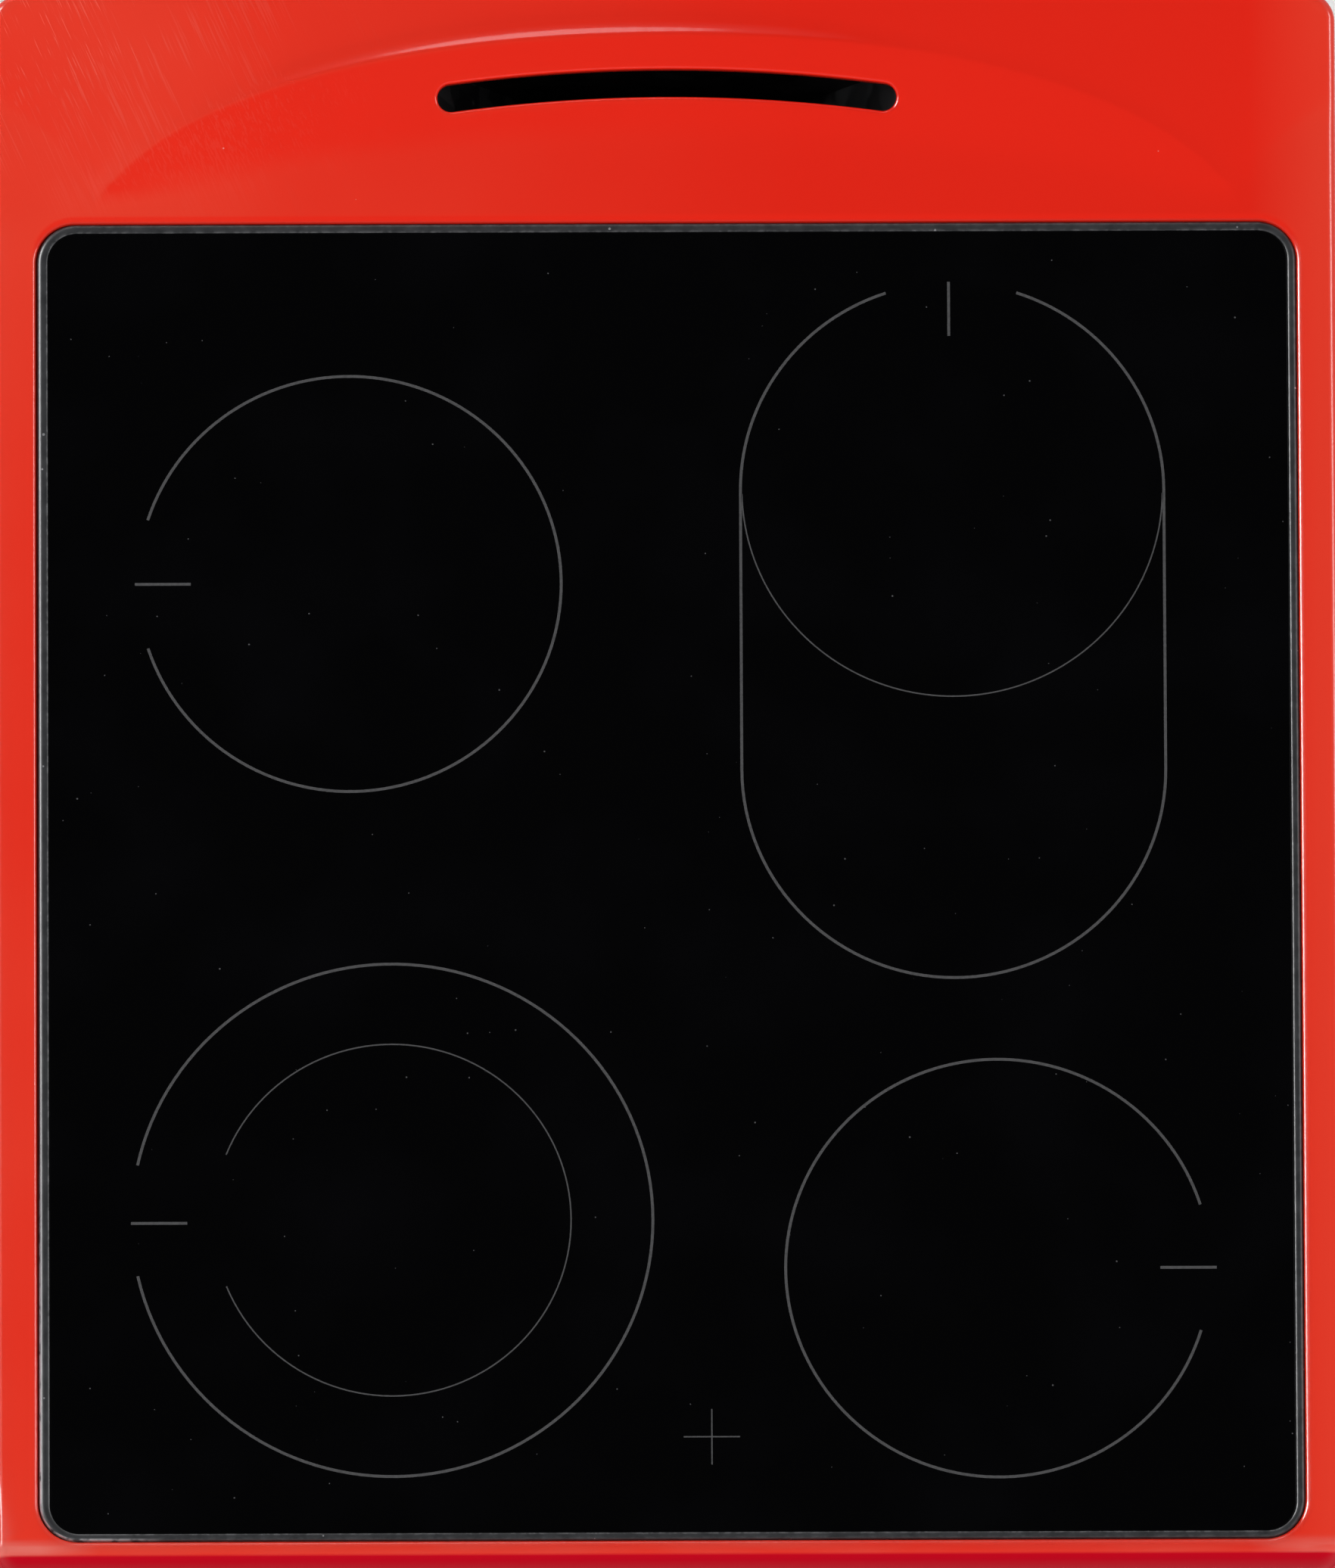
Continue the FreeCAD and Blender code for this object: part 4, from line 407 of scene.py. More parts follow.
def darkTrim():  # the seal round the glass, worn bright along its outer edge, most of all at the front-left corner, where a thin arc along the outer edge is part wear and part painted highlight
    look = {"dark": (0.019, 0.020, 0.022), "paler": (0.034, 0.035, 0.038), "wornAndHighlit": (0.55, 0.55, 0.57),
            "clouds": (0.35, 0.65), "rubbedAcross": (-0.190, -0.232), "rubbedAlong": (-0.12, -0.25),
            "worn": 0.50, "wornMore": 0.30, "cornerX": -0.2219, "cornerY": -0.2497, "wornAndHighlightArc": (0.0134, 0.0139),
            "lineBroken": (0.32, 0.52, 0.0, 1.5), "metal": 0.8}
    made, tree, shader = startMaterial("darkTrim", look["dark"], 0.38)
    cloud = grain(tree, 140.0, 5.0)
    base = blend(tree, spread(tree, cloud, look["clouds"]), look["dark"], look["paler"])
    place = split(tree, onPart(tree))
    rubbed = times(tree, spread(tree, place[0], look["rubbedAcross"]), spread(tree, place[1], look["rubbedAlong"]))
    amount = plus(tree, times(tree, rubbed, look["wornMore"]), look["worn"])
    worn = useGroup(tree, wornEdges, Reach=0.0009, Amount=amount, Scale=420.0)
    nicks = useGroup(tree, specks, Scale=230.0, Size=0.12, Amount=0.3)
    squares = []
    for axis, corner in enumerate((look["cornerX"], look["cornerY"])):
        beyond = math2(tree, "MAXIMUM", math2(tree, "SUBTRACT", corner, place[axis]), 0.0)
        squares.append(math2(tree, "POWER", beyond, 2.0))
    # a thin pale arc round the front-left corner: part wear, part painted highlight
    line = spread(tree, math2(tree, "SQRT", plus(tree, *squares)), look["wornAndHighlightArc"])
    broken = spread(tree, grain(tree, 260.0, 2.0), look["lineBroken"])
    line = times(tree, times(tree, line, rubbed), broken, clamp=True)
    wornAndHighlit = math2(tree, "MAXIMUM", math2(tree, "MAXIMUM", worn, nicks), line)
    paint(tree, shader, blend(tree, wornAndHighlit, base, look["wornAndHighlit"]))
    feed(tree, shader.inputs["Metallic"], times(tree, wornAndHighlit, look["metal"]))
    addBump(tree, shader, cloud, depth=0.0001, strength=0.4)
    return made


def hobGlass():  # deep black, with a little dust
    look = {"black": (0.0012, 0.0012, 0.0013), "base": (0.0010, 0.0010, 0.0012), "dusty": (0.045, 0.045, 0.048),
            "film": (0.45, 0.8, 0.0, 0.0009), "filmBlue": 1.3, "rough": 0.03, "roughDusty": 0.6}
    made, tree, shader = startMaterial("hobGlass", look["black"], look["rough"])
    dust = useGroup(tree, specks, Scale=170.0, Size=0.058, Amount=0.5)
    film = spread(tree, grain(tree, 18.0, 5.0), look["film"])
    filmColor = addNode(tree, "CombineColor", {0: film, 1: film, 2: times(tree, film, look["filmBlue"])}).outputs[0]
    base = blend(tree, 1.0, look["base"], filmColor, "ADD")
    rough = plus(tree, times(tree, dust, look["roughDusty"]), look["rough"])
    paint(tree, shader, blend(tree, dust, base, look["dusty"]), rough)
    return made


def glassWool():
    look = {"wool": (0.72, 0.66, 0.46), "darker": (0.52, 0.46, 0.27), "paler": (0.80, 0.75, 0.56),
            "contrast": (0.35, 0.65)}
    made, tree, shader = startMaterial("glassWool", look["wool"], 0.9)
    strands = grain(tree, 600.0, 6.0, (1, 1, 0.15))
    across = grain(tree, 450.0, 6.0, (0.2, 0.2, 1))
    tangle = times(tree, plus(tree, strands, across), 0.5)
    paint(tree, shader, blend(tree, spread(tree, tangle, look["contrast"]), look["darker"], look["paler"]))
    addBump(tree, shader, tangle, depth=0.002, strength=0.8)
    return made


def clearGlass(name, tint, alpha, roughness=0.02, transmission=1.0):
    look = {"smears": (0.45, 0.75), "smearAlpha": 0.06, "smearsRough": (0.4, 0.7), "smearRough": 0.03}
    made, tree, shader = startMaterial(name, tint, roughness, **{"Transmission Weight": transmission, "IOR": 1.5})
    smear = grain(tree, 26.0, 4.0)
    dimmer = min(1.0, alpha + look["smearAlpha"])
    feed(tree, shader.inputs["Alpha"], spread(tree, smear, (*look["smears"], alpha, dimmer)))
    rougher = roughness + look["smearRough"]
    feed(tree, shader.inputs["Roughness"], spread(tree, smear, (*look["smearsRough"], roughness, rougher)))
    return made


def amberLens():
    look = {"amber": (0.85, 0.24, 0.02), "darker": (0.7, 0.16, 0.01), "paler": (0.95, 0.34, 0.04)}
    made, tree, shader = startMaterial("amberLens", look["amber"], 0.12,
                                       **{"Transmission Weight": 0.35, "IOR": 1.49})
    ribs = grain(tree, 1500.0, 1.0, (1, 1, 0.05))
    paint(tree, shader, blend(tree, ribs, look["darker"], look["paler"]))
    addBump(tree, shader, ribs, depth=0.0002, strength=0.6)
    return made


def printInk(name, color):  # screen print, a little thin in places
    look = {"thin": (0.25, 0.6), "thinShare": 0.7}
    made, tree, shader = startMaterial(name, color, 0.45)
    cover = spread(tree, grain(tree, 900.0, 4.0), look["thin"])
    paint(tree, shader, blend(tree, cover, tuple(part * look["thinShare"] for part in color), color))
    return made


def paleFloor():  # lit near the cooker, and an even pale tone for the camera further out
    look = {"color": (0.76, 0.76, 0.75), "paler": (0.80, 0.80, 0.79), "away": (1.3, 4.5),
            "farColor": (1, 1, 0.99), "far": 0.79}
    made, tree, shader = startMaterial("paleFloor", look["color"], 0.6)
    cloud = grain(tree, 3.0, 6.0)
    paint(tree, shader, blend(tree, cloud, look["color"], look["paler"]))
    addBump(tree, shader, grain(tree, 260.0, 4.0), depth=0.0003, strength=0.3)
    reach = addNode(tree, "VectorMath", {0: onPart(tree)}, operation="LENGTH").outputs["Value"]
    away = spread(tree, reach, look["away"], "SMOOTHSTEP")
    seen = times(tree, away, addNode(tree, "LightPath").outputs["Is Camera Ray"])
    glow = addNode(tree, "Emission", {"Color": look["farColor"], "Strength": look["far"]})
    mixed = addNode(tree, "MixShader", {0: seen, 1: shader.outputs[0], 2: glow.outputs[0]})
    feed(tree, tree.nodes["Material Output"].inputs["Surface"], mixed.outputs[0])
    return made


# each has its colour, a paler or darker one, its roughness, and then what its kind adds
finishes = {
    "red_enamel": redEnamel(),
    "red_paint": redPaint(),
    "zinc_steel": zincSteel(),
    "grey_enamel": enamel("greyEnamel", (0.17, 0.17, 0.18), (0.22, 0.22, 0.23), 0.38, (0.27, 0.27, 0.28), 0.05),
    "black_paint": plainCoat("blackPaint", (0.016, 0.016, 0.017), (0.026, 0.026, 0.027), 0.42),
    "oven_enamel": enamel("ovenEnamel", (0.020, 0.021, 0.025), (0.032, 0.033, 0.038), 0.18, (0.42, 0.43, 0.46), 0.16),
    "glass_wool": glassWool(),
    "gasket_rubber": plainCoat("gasketRubber", (0.022, 0.022, 0.023), (0.036, 0.036, 0.037), 0.75),
    "dark_trim": darkTrim(),
    "hob_glass": hobGlass(),
    "heater_board": plainCoat("heaterBoard", (0.70, 0.67, 0.60), (0.80, 0.77, 0.70), 0.9, 500.0, 0.0006),
    "heater_alloy": drawnSteel("heaterAlloy", (0.34, 0.31, 0.27), (0.20, 0.17, 0.15), 0.5, (1, 1, 1)),
    "switch_resin": plainCoat("switchResin", (0.60, 0.55, 0.45), (0.68, 0.63, 0.53), 0.5),
    "amber_lens": amberLens(),
    "element_steel": drawnSteel("elementSteel", (0.24, 0.235, 0.22), (0.13, 0.12, 0.11), 0.42, (1, 1, 1)),
    "lamp_ceramic": plainCoat("lampCeramic", (0.74, 0.71, 0.64), (0.82, 0.79, 0.73), 0.3),
    "clear_glass": clearGlass("clearGlass", (0.86, 0.92, 0.90), 0.30),
    "chromed_wire": drawnSteel("chromedWire", (0.74, 0.75, 0.77), (0.60, 0.61, 0.63), 0.16, (0.05, 1, 1), 0.00002),
    "black_plastic": plainCoat("blackPlastic", (0.018, 0.018, 0.019), (0.028, 0.028, 0.029), 0.5, 1500.0),
    "knob_plastic": plainCoat("knobPlastic", (0.010, 0.010, 0.011), (0.016, 0.016, 0.017), 0.30, 1800.0, 0.00006),
    "spindle_steel": drawnSteel("spindleSteel", (0.62, 0.62, 0.62), (0.45, 0.45, 0.45), 0.3, (1, 0.1, 1)),
    "door_glass": clearGlass("doorGlass", (0.006, 0.006, 0.007), 0.45, 0.03, 0.0),
    "handle_steel": drawnSteel("handleSteel", (0.66, 0.66, 0.67), (0.50, 0.50, 0.51), 0.26, (0.02, 1, 1)),
}
greyInk = printInk("greyInk", (0.068, 0.068, 0.071))
whiteInk = printInk("whiteInk", (0.80, 0.80, 0.78))
blackInk = printInk("blackInk", (0.005, 0.005, 0.006))

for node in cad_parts.values():
    for holder in node.material_slots:
        holder.material = finishes[holder.material.name]
print("cooker: materials on", len(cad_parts), "solids")


def lightWorld():
    look = {"ambient": 0.46, "background": 0.90, "gloss": (0.30, 0.80, 0.60, 0.010)}
    world = bpy.data.worlds.new("paleRoom")
    bpy.context.scene.world = world
    world.use_nodes = True
    tree = world.node_tree
    tree.nodes.clear()
    up = split(tree, addNode(tree, "TexCoord").outputs["Generated"])[2]
    path = addNode(tree, "LightPath").outputs
    seen = math2(tree, "MAXIMUM", path["Is Camera Ray"], path["Is Transmission Ray"])
    level = blendValues(tree, seen, look["background"], look["ambient"])
    level = blendValues(tree, path["Is Glossy Ray"], spread(tree, up, look["gloss"]), level)
    shade = addNode(tree, "CombineColor", {0: level, 1: level, 2: level}).outputs[0]
    background = addNode(tree, "Background", {"Color": shade})
    addNode(tree, "OutputWorld", {"Surface": background.outputs[0]})


floorPlan = {"half": 40.0, "below": 0.0002}


def layFloor(plan):
    mesh = bmesh.new()
    mesh.faces.new([mesh.verts.new((x * plan["half"], y * plan["half"], -plan["below"])) for x, y in square])
    addMesh(mesh, "floor", paleFloor())


placeCamera(cameraView)
hangLamps(lampPlan)
lightWorld()
layFloor(floorPlan)
bpy.context.scene.view_settings.view_transform = "Standard"
print("cooker: camera, lamps, world and floor set")


# how the pieces are put together; lengths are in millimetres until a point is made

def point(x, y, z):
    return Vector((x * mm, y * mm, z * mm))


def finishPiece(mesh, name, body, finish, sharpAngle=40.0, weld=False):
    if weld:
        bmesh.ops.remove_doubles(mesh, verts=mesh.verts, dist=fine)
    bmesh.ops.recalc_face_normals(mesh, faces=mesh.faces)
    piece = addMesh(mesh, name, finish)
    piece.data.shade_smooth()
    piece.data.set_sharp_from_angle(angle=math.radians(sharpAngle))
    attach(piece, body)
    return piece


def bridge(mesh, first, second, closed=True):
    count = len(first)
    for index in range(count if closed else count - 1):
        after = (index + 1) % count
        mesh.faces.new((first[index], first[after], second[after], second[index]))


def joinRings(mesh, rings, closed=True):
    for first, second in zip(rings, rings[1:]):
        bridge(mesh, first, second, closed)


def ring(mesh, flatPoints, place, rise):
    return [mesh.verts.new(place(u, v, rise)) for u, v in flatPoints]


def band(mesh, outer, inner, place, low, high, closed=True):  # a flat strip with a little thickness
    rings = [ring(mesh, outer, place, high), ring(mesh, inner, place, high),
             ring(mesh, inner, place, low), ring(mesh, outer, place, low)]
    joinRings(mesh, rings + rings[:1], closed)
    if not closed:
        mesh.faces.new([line[0] for line in rings])
        mesh.faces.new([line[-1] for line in rings])


def stack(mesh, layers, place):  # outlines one above another, closed at both ends
    rings = [ring(mesh, outline, place, rise) for outline, rise in layers]
    joinRings(mesh, rings)
    mesh.faces.new(rings[0])
    mesh.faces.new(rings[-1])


def arc(centre, radius, start, end, steps):  # degrees, counted from +u towards +v
    return [(centre[0] + radius * math.cos(math.radians(start + (end - start) * count / steps)),
             centre[1] + radius * math.sin(math.radians(start + (end - start) * count / steps)))
            for count in range(steps + 1)]


def circle(radius, steps=24, centre=(0, 0)):
    return arc(centre, radius, 0, 360 - 360 / steps, steps - 1)


def arcBand(mesh, centre, radius, width, start, end, place, low, high, steps=96):
    whole = end - start >= 360
    outer = arc(centre, radius + width / 2, start, end, steps)
    inner = arc(centre, radius - width / 2, start, end, steps)
    if whole:
        outer, inner = outer[:-1], inner[:-1]
    band(mesh, outer, inner, place, low, high, whole)


def stroke(mesh, first, second, width, place, low, high):
    along = Vector(second) - Vector(first)
    side = Vector((-along.y, along.x)).normalized() * width / 2
    band(mesh, [Vector(first) + side, Vector(second) + side],
         [Vector(first) - side, Vector(second) - side], place, low, high, False)


figureHigh = 0.72  # of the size that the font is given


def write(mesh, words, centre, height, place, low, high):  # plain figures as thin raised print
    curve = bpy.data.curves.new("figures", "FONT")
    curve.body = words
    curve.size = height / figureHigh
    curve.align_x, curve.align_y = "CENTER", "CENTER"
    curve.resolution_u = 3
    curve.extrude = 1.0
    holder = bpy.data.objects.new("figures", curve)
    data = bpy.data.meshes.new_from_object(holder)
    for corner in data.vertices:
        rise = high if corner.co.z > 0 else low
        corner.co = place(centre[0] + corner.co.x, centre[1] + corner.co.y, rise)
    mesh.from_mesh(data)
    bpy.data.objects.remove(holder)
    bpy.data.curves.remove(curve)
    bpy.data.meshes.remove(data)


def roundedLoop(x0, x1, y0, y1, corner, inset=0.0, alongX=60, alongY=60, turn=10):
    left, right, low, high = x0 + corner, x1 - corner, y0 + corner, y1 - corner
    bends = [arc(centre, corner - inset, start, start + 90, turn) for start, centre in
             ((-90, (right, low)), (0, (right, high)), (90, (left, high)), (180, (left, low)))]
    loop = []
    for bend, after, steps in zip(bends, bends[1:] + bends[:1], (alongY, alongX) * 2):
        (u, v), (uEnd, vEnd) = bend[-1], after[0]
        loop += bend + [(u + (uEnd - u) * count / steps, v + (vEnd - v) * count / steps) for count in range(1, steps)]
    return loop


def inside(flat, loop):
    x, y = flat
    hit = False
    for (ax, ay), (bx, by) in zip(loop, loop[1:] + loop[:1]):
        if (ay > y) != (by > y) and x < ax + (y - ay) * (bx - ax) / (by - ay):
            hit = not hit
    return hit


# the pressed hob top

hobTop = {
    "left": -253.6, "right": 250.6, "front": -278.8, "back": 324.2, "corner": 11.0,
    "edgeRound": 4.0, "frontRound": 9.7, "backRound": 2.2, "crease": 18.0, "cornerFade": 20.0,
    "flat": 842.0, "skirtStart": 826.0, "skirt": 812.0, "sheet": 0.9,
    "pocketLeft": -236.6, "pocketRight": 235.5, "pocketFront": -264.4, "pocketBack": 236.8, "pocketCorner": 14.7,
    "pocketRound": 3.6, "pocketDrop": 1.9, "pocketFloor": 836.4, "seatWide": 14.0,
    "ridgeHalf": 220.0, "ridgeDeep": 85.3, "ridgeMiddle": 222.5, "ridgePower": 2.1,
    "faceStart": 272.0, "faceBow": 19.0, "bowHalf": 182.0, "faceSlope": 0.225, "faceSoft": 6.0, "footFade": 12.0,
    "fallWide": 7.0, "fallSlope": 0.85, "crestSoft": 0.8, "crestMiddle": -40.0, "crestReach": 150.0,
    "crestLeast": 0.12,
    "slotMiddle": 289.7, "slotHalf": 86.0, "slotWide": 10.2, "slotArc": 600.0, "slotRound": 1.5, "slotLip": 0.5,
}
hobGrid = {  # where the sheet is divided: in rows along the ridge, close together at its crest, and evenly elsewhere
    "ridgeSteps": 230, "ridgeRows": (-9, -5.5, -3.2, -1.8, -0.9, -0.3, 0.3, 0.9, 1.6, 2.4, 3.4, 4.6, 6, 7.4, 9, 11),
    "ridgeClear": (-10.5, 12), "edgeClear": 1.0, "slotClear": 0.6, "rollSteps": 10,
    "columns": 123, "columnFrom": -248, "columnStep": 4.07, "rows": 31, "rowFrom": 242, "rowStep": 2.6, "shift": 2,
}


def ridgeDistance(x, y):  # across the ridge line, positive behind it
    half, deep, power = hobTop["ridgeHalf"], hobTop["ridgeDeep"], hobTop["ridgePower"]
    across = max(fine, abs(x)) / half
    along = max(fine, y - hobTop["ridgeMiddle"]) / deep
    share = (across ** power + along ** power) ** (1 / power)
    slope = share ** (1 - power) * math.hypot(across ** (power - 1) / half, along ** (power - 1) / deep)
    return (share - 1) / slope


def softStep(value, soft):  # zero below nothing, the value above it, with a rounded corner
    return (value + math.hypot(value, soft)) / 2


def humpHeight(x, y):
    h = hobTop
    start = h["faceStart"] - h["faceBow"] * (x / h["bowHalf"]) ** 2
    face = h["faceSlope"] * softStep(y - start, h["faceSoft"])
    past = softStep(ridgeDistance(x, y), h["crestSoft"])
    behind = min(1.0, past / h["fallWide"])
    level = face - h["faceSlope"] * past  # as high as the crest, all the way back
    drop = h["fallSlope"] * h["fallWide"] / 2 * (1 - (1 - behind) ** 2)
    reach = max(h["crestLeast"], 1 - ((x - h["crestMiddle"]) / h["crestReach"]) ** 2)
    fade = min(1.0, max(0.0, (y - h["pocketBack"] - h["pocketRound"]) / h["footFade"]))
    return max(0.0, level - drop * reach) * fade


def slotLoop(grow, along=44, turn=9):
    half = hobTop["slotWide"] / 2 + grow
    radius = hobTop["slotArc"]
    swing = math.degrees(math.asin((hobTop["slotHalf"] - hobTop["slotWide"] / 2) / radius))
    hub = (0.0, hobTop["slotMiddle"] - radius)
    outer = arc(hub, radius + half, 90 - swing, 90 + swing, along)
    inner = arc(hub, radius - half, 90 + swing, 90 - swing, along)
    rightEnd, leftEnd = arc(hub, radius, 90 - swing, 90 + swing, 1)
    leftCap = arc(leftEnd, half, 90 + swing, 270 + swing, 2 * turn)
    rightCap = arc(rightEnd, half, -90 - swing, 90 - swing, 2 * turn)
    return outer + leftCap[1:-1] + inner + rightCap[1:-1]


def pressedHobTop():
    h, grid = hobTop, hobGrid
    half, deep, start, power = h["ridgeHalf"], h["ridgeDeep"], h["ridgeMiddle"], h["ridgePower"]

    def outerAt(share, beyond=0.0):  # share 1 is the rim of the flat, 0 the skirt; the front rolls over further
        inset = h["edgeRound"] * share + beyond
        ahead = h["frontRound"] * share + beyond
        astern = h["backRound"] * share + beyond
        return roundedLoop(h["left"], h["right"], h["front"] + ahead - inset, h["back"] - astern + inset,
                           h["corner"], inset, 80, 80, 12)

    def pocketAt(inset):
        return roundedLoop(h["pocketLeft"], h["pocketRight"], h["pocketFront"], h["pocketBack"],
                           h["pocketCorner"], inset, 70, 70, 14)

    def onSheet(spot, rim, *holes):
        return inside(spot, rim) and not any(inside(spot, hole) for hole in holes)

    outer, pocket, slot = outerAt(1), pocketAt(-h["pocketRound"]), slotLoop(h["slotRound"])
    clearOuter, clearPocket = outerAt(1, grid["edgeClear"]), pocketAt(-h["pocketRound"] - grid["edgeClear"])
    clearSlot = slotLoop(h["slotRound"] + grid["slotClear"])
    flat, edges = [], []
    for loop in (outer, pocket, slot):
        first, count = len(flat), len(loop)
        edges += [(first + index, first + (index + 1) % count) for index in range(count)]
        flat += loop
    extra = []
    for count in range(1, grid["ridgeSteps"]):
        turn = math.pi * count / grid["ridgeSteps"]
        x = half * math.copysign(abs(math.cos(turn)) ** (2 / power), math.cos(turn))
        y = start + deep * math.sin(turn) ** (2 / power)
        out = Vector((math.copysign(abs(x / half) ** (power - 1) / half, x),
                      ((y - start) / deep) ** (power - 1) / deep)).normalized()
        extra += [(x + out.x * away, y + out.y * away) for away in grid["ridgeRows"]]
    for row in range(grid["rows"]):
        for column in range(grid["columns"]):
            spot = (grid["columnFrom"] + column * grid["columnStep"] + row % 2 * grid["shift"],
                    grid["rowFrom"] + row * grid["rowStep"])
            if not grid["ridgeClear"][0] < ridgeDistance(*spot) < grid["ridgeClear"][1]:
                extra.append(spot)
    flat += [spot for spot in extra if onSheet(spot, clearOuter, clearPocket, clearSlot)]
    made = delaunay_2d_cdt([Vector(spot) for spot in flat], edges, [], 0, fine)
    mesh = bmesh.new()
    corners = [mesh.verts.new(point(x, y, h["flat"] + humpHeight(x, y))) for x, y in made[0]]
    for face in made[2]:
        middle = tuple(sum(made[0][index][axis] for index in face) / len(face) for axis in (0, 1))
        if onSheet(middle, outer, pocket, slot):
            mesh.faces.new([corners[index] for index in face])
    cornerOf = {given: corners[index] for index, origins in enumerate(made[3]) for given in origins}

    def rollEdge(loopAt, begin, dropAt, levels, crease=0.0):  # rings that turn the sheet down round a loop
        rings = [[cornerOf[begin + index] for index in range(len(loopAt(0)))]]
        heights = [corner.co.z / mm for corner in rings[0]]
        first = math.radians(crease)
        for count in range(1, grid["rollSteps"] + 1):
            angle = first + (math.pi / 2 - first) * count / grid["rollSteps"]
            out = (math.sin(angle) - math.sin(first)) / (1 - math.sin(first))
            down = 1 - math.cos(angle) / math.cos(first)
            rings.append([mesh.verts.new(point(x, y, z - dropAt(y) * down))
                          for (x, y), z in zip(loopAt(1 - out), heights)])
        joinRings(mesh, rings + [ring(mesh, loopAt(inset), point, level) for inset, level in levels])

    frontFlat = h["front"] + h["corner"] + h["frontRound"]
    deepFront = lambda y: h["frontRound"] if y < frontFlat else h["edgeRound"] + (
        h["frontRound"] - h["edgeRound"]) * max(0.0, 1 - (y - frontFlat) / h["cornerFade"])
    rollEdge(outerAt, 0, deepFront, [(0, h["skirtStart"]), (0, h["skirt"])], h["crease"])
    rollEdge(lambda share: pocketAt(-h["pocketRound"] * share), len(outer), lambda y: h["pocketDrop"],
             [(0, h["pocketFloor"]), (-h["seatWide"] / h["pocketRound"], h["pocketFloor"])])
    rollEdge(lambda share: slotLoop(h["slotRound"] * share), len(outer) + len(pocket), lambda y: h["slotRound"],
             [(0, h["flat"] + h["slotLip"])])
    loose = [corner for corner in mesh.verts if not corner.link_faces]
    bmesh.ops.delete(mesh, geom=loose, context="VERTS")
    piece = finishPiece(mesh, "pressed_hob_top", "carcass", finishes["red_enamel"], 180.0)
    thick = piece.modifiers.new("sheet", "SOLIDIFY")
    thick.thickness = h["sheet"] * mm
    thick.offset = -1.0
    thick.use_even_offset = False
    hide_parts("hob_top")


pressedHobTop()
print("cooker: hob top pressed")


# the seal round the glass

glassSeal = {
    "glass": (-232.2, 232.2, -261.5, 233.3), "glassCorner": 11.0, "wall": 0.1, "wallLeft": 0.6, "wallRight": 0.15,
    "profile": [(0.0, 836.6), (0.0, 840.2), (0.03, 840.65), (0.12, 841.15), (0.26, 841.63), (0.45, 841.75),
                (0.72, 841.75), (0.86, 841.7), (0.95, 841.5), (1.0, 841.3), (1.0, 837.2), (0.9, 836.6)],
}


def sealRing(seal):
    h = hobTop
    wall = (h["pocketLeft"] + seal["wallLeft"], h["pocketRight"] - seal["wallRight"],
            h["pocketFront"] + seal["wall"], h["pocketBack"] - seal["wall"], h["pocketCorner"])
    glass = (*seal["glass"], seal["glassCorner"])
    mesh = bmesh.new()
    rings = []
    for share, rise in seal["profile"]:  # the share is 0 at the pocket's wall and 1 at the glass
        loop = roundedLoop(*(near + (far - near) * share for near, far in zip(wall, glass)), 0.0, 70, 70, 14)
        rings.append(ring(mesh, loop, point, rise))
    joinRings(mesh, rings + rings[:1])
    piece = finishPiece(mesh, "glass_seal_ring", "carcass", finishes["dark_trim"], 50.0)
    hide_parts("glass_trim")


sealRing(glassSeal)
print("cooker: seal laid")


# printed marks on the glass

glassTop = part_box("ceramic_glass")[1].z / mm
zoneMarks = {  # each line has its radius, half its gap in degrees, its width and its steps
    "rise": 0.05, "sunk": 0.03, "thick": 1.05, "thin": 0.5,
    "rearLeft": {"centre": (-119.5, 99.2), "gapAt": 180.0, "lines": [(79.2, 18.0, "thick", 128)],
                 "tick": (-199.7, -178.8)},
    "frontLeft": {"centre": (-104.3, -142.9), "gapAt": 180.0,
                  "lines": [(97.2, 12.5, "thick", 128), (66.7, 22.0, "thin", 112)],
                  "tick": (-201.7, -180.7), "tickDown": 1.0},
    "frontRight": {"centre": (121.5, -161.8), "gapAt": 0.0, "lines": [(79.2, 17.5, "thick", 128)],
                   "tick": (182.0, 203.0)},
    "rearRight": {"x": 106.1, "top": 134.3, "bottom": 27.7, "radius": 79.2, "gap": 18.0, "tick": (193.2, 213.9),
                  "tickLeft": 0.9},
    "cross": {"centre": (14.5, -225.4), "reach": 10.5},
}


def onGlass(u, v, w):
    return point(u, v, glassTop + w)


def printZones(marks):
    ink, thick, thin = (onGlass, -marks["sunk"], marks["rise"]), marks["thick"], marks["thin"]
    for name in ("rearLeft", "frontLeft", "frontRight"):
        zone = marks[name]
        mesh = bmesh.new()
        for radius, gap, width, steps in zone["lines"]:
            start = zone["gapAt"] + gap
            arcBand(mesh, zone["centre"], radius, marks[width], start, start + 360 - 2 * gap, *ink, steps)
        level = zone["centre"][1] - zone.get("tickDown", 0.0)
        stroke(mesh, (zone["tick"][0], level), (zone["tick"][1], level), thick, *ink)
        finishPiece(mesh, "zone_mark_" + name, "carcass", greyInk)

    zone = marks["rearRight"]
    top, bottom = (zone["x"], zone["top"]), (zone["x"], zone["bottom"])

    def longZone(radius):  # open at the top
        return (arc(top, radius, 90 + zone["gap"], 180, 28) + arc(bottom, radius, 180, 360, 64)
                + arc(top, radius, 0, 90 - zone["gap"], 28))

    mesh = bmesh.new()
    inner = zone["radius"] - thick / 2
    band(mesh, longZone(zone["radius"] + thick / 2), longZone(inner), *ink, False)
    arcBand(mesh, top, inner, thin, 181, 359, *ink)
    stroke(mesh, *((zone["x"] - zone["tickLeft"], end) for end in zone["tick"]), thick, *ink)
    finishPiece(mesh, "zone_mark_rearRight", "carcass", greyInk)

    (u, v), reach = marks["cross"]["centre"], marks["cross"]["reach"]
    mesh = bmesh.new()
    stroke(mesh, (u - reach, v), (u + reach, v), thin, *ink)
    for end in (1, -1):
        stroke(mesh, (u, v + end * thin / 2), (u, v + end * reach), thin, *ink)
    finishPiece(mesh, "glass_centre_cross", "carcass", greyInk)


printZones(zoneMarks)
print("cooker: zones printed")


# fascia print and knob pointers

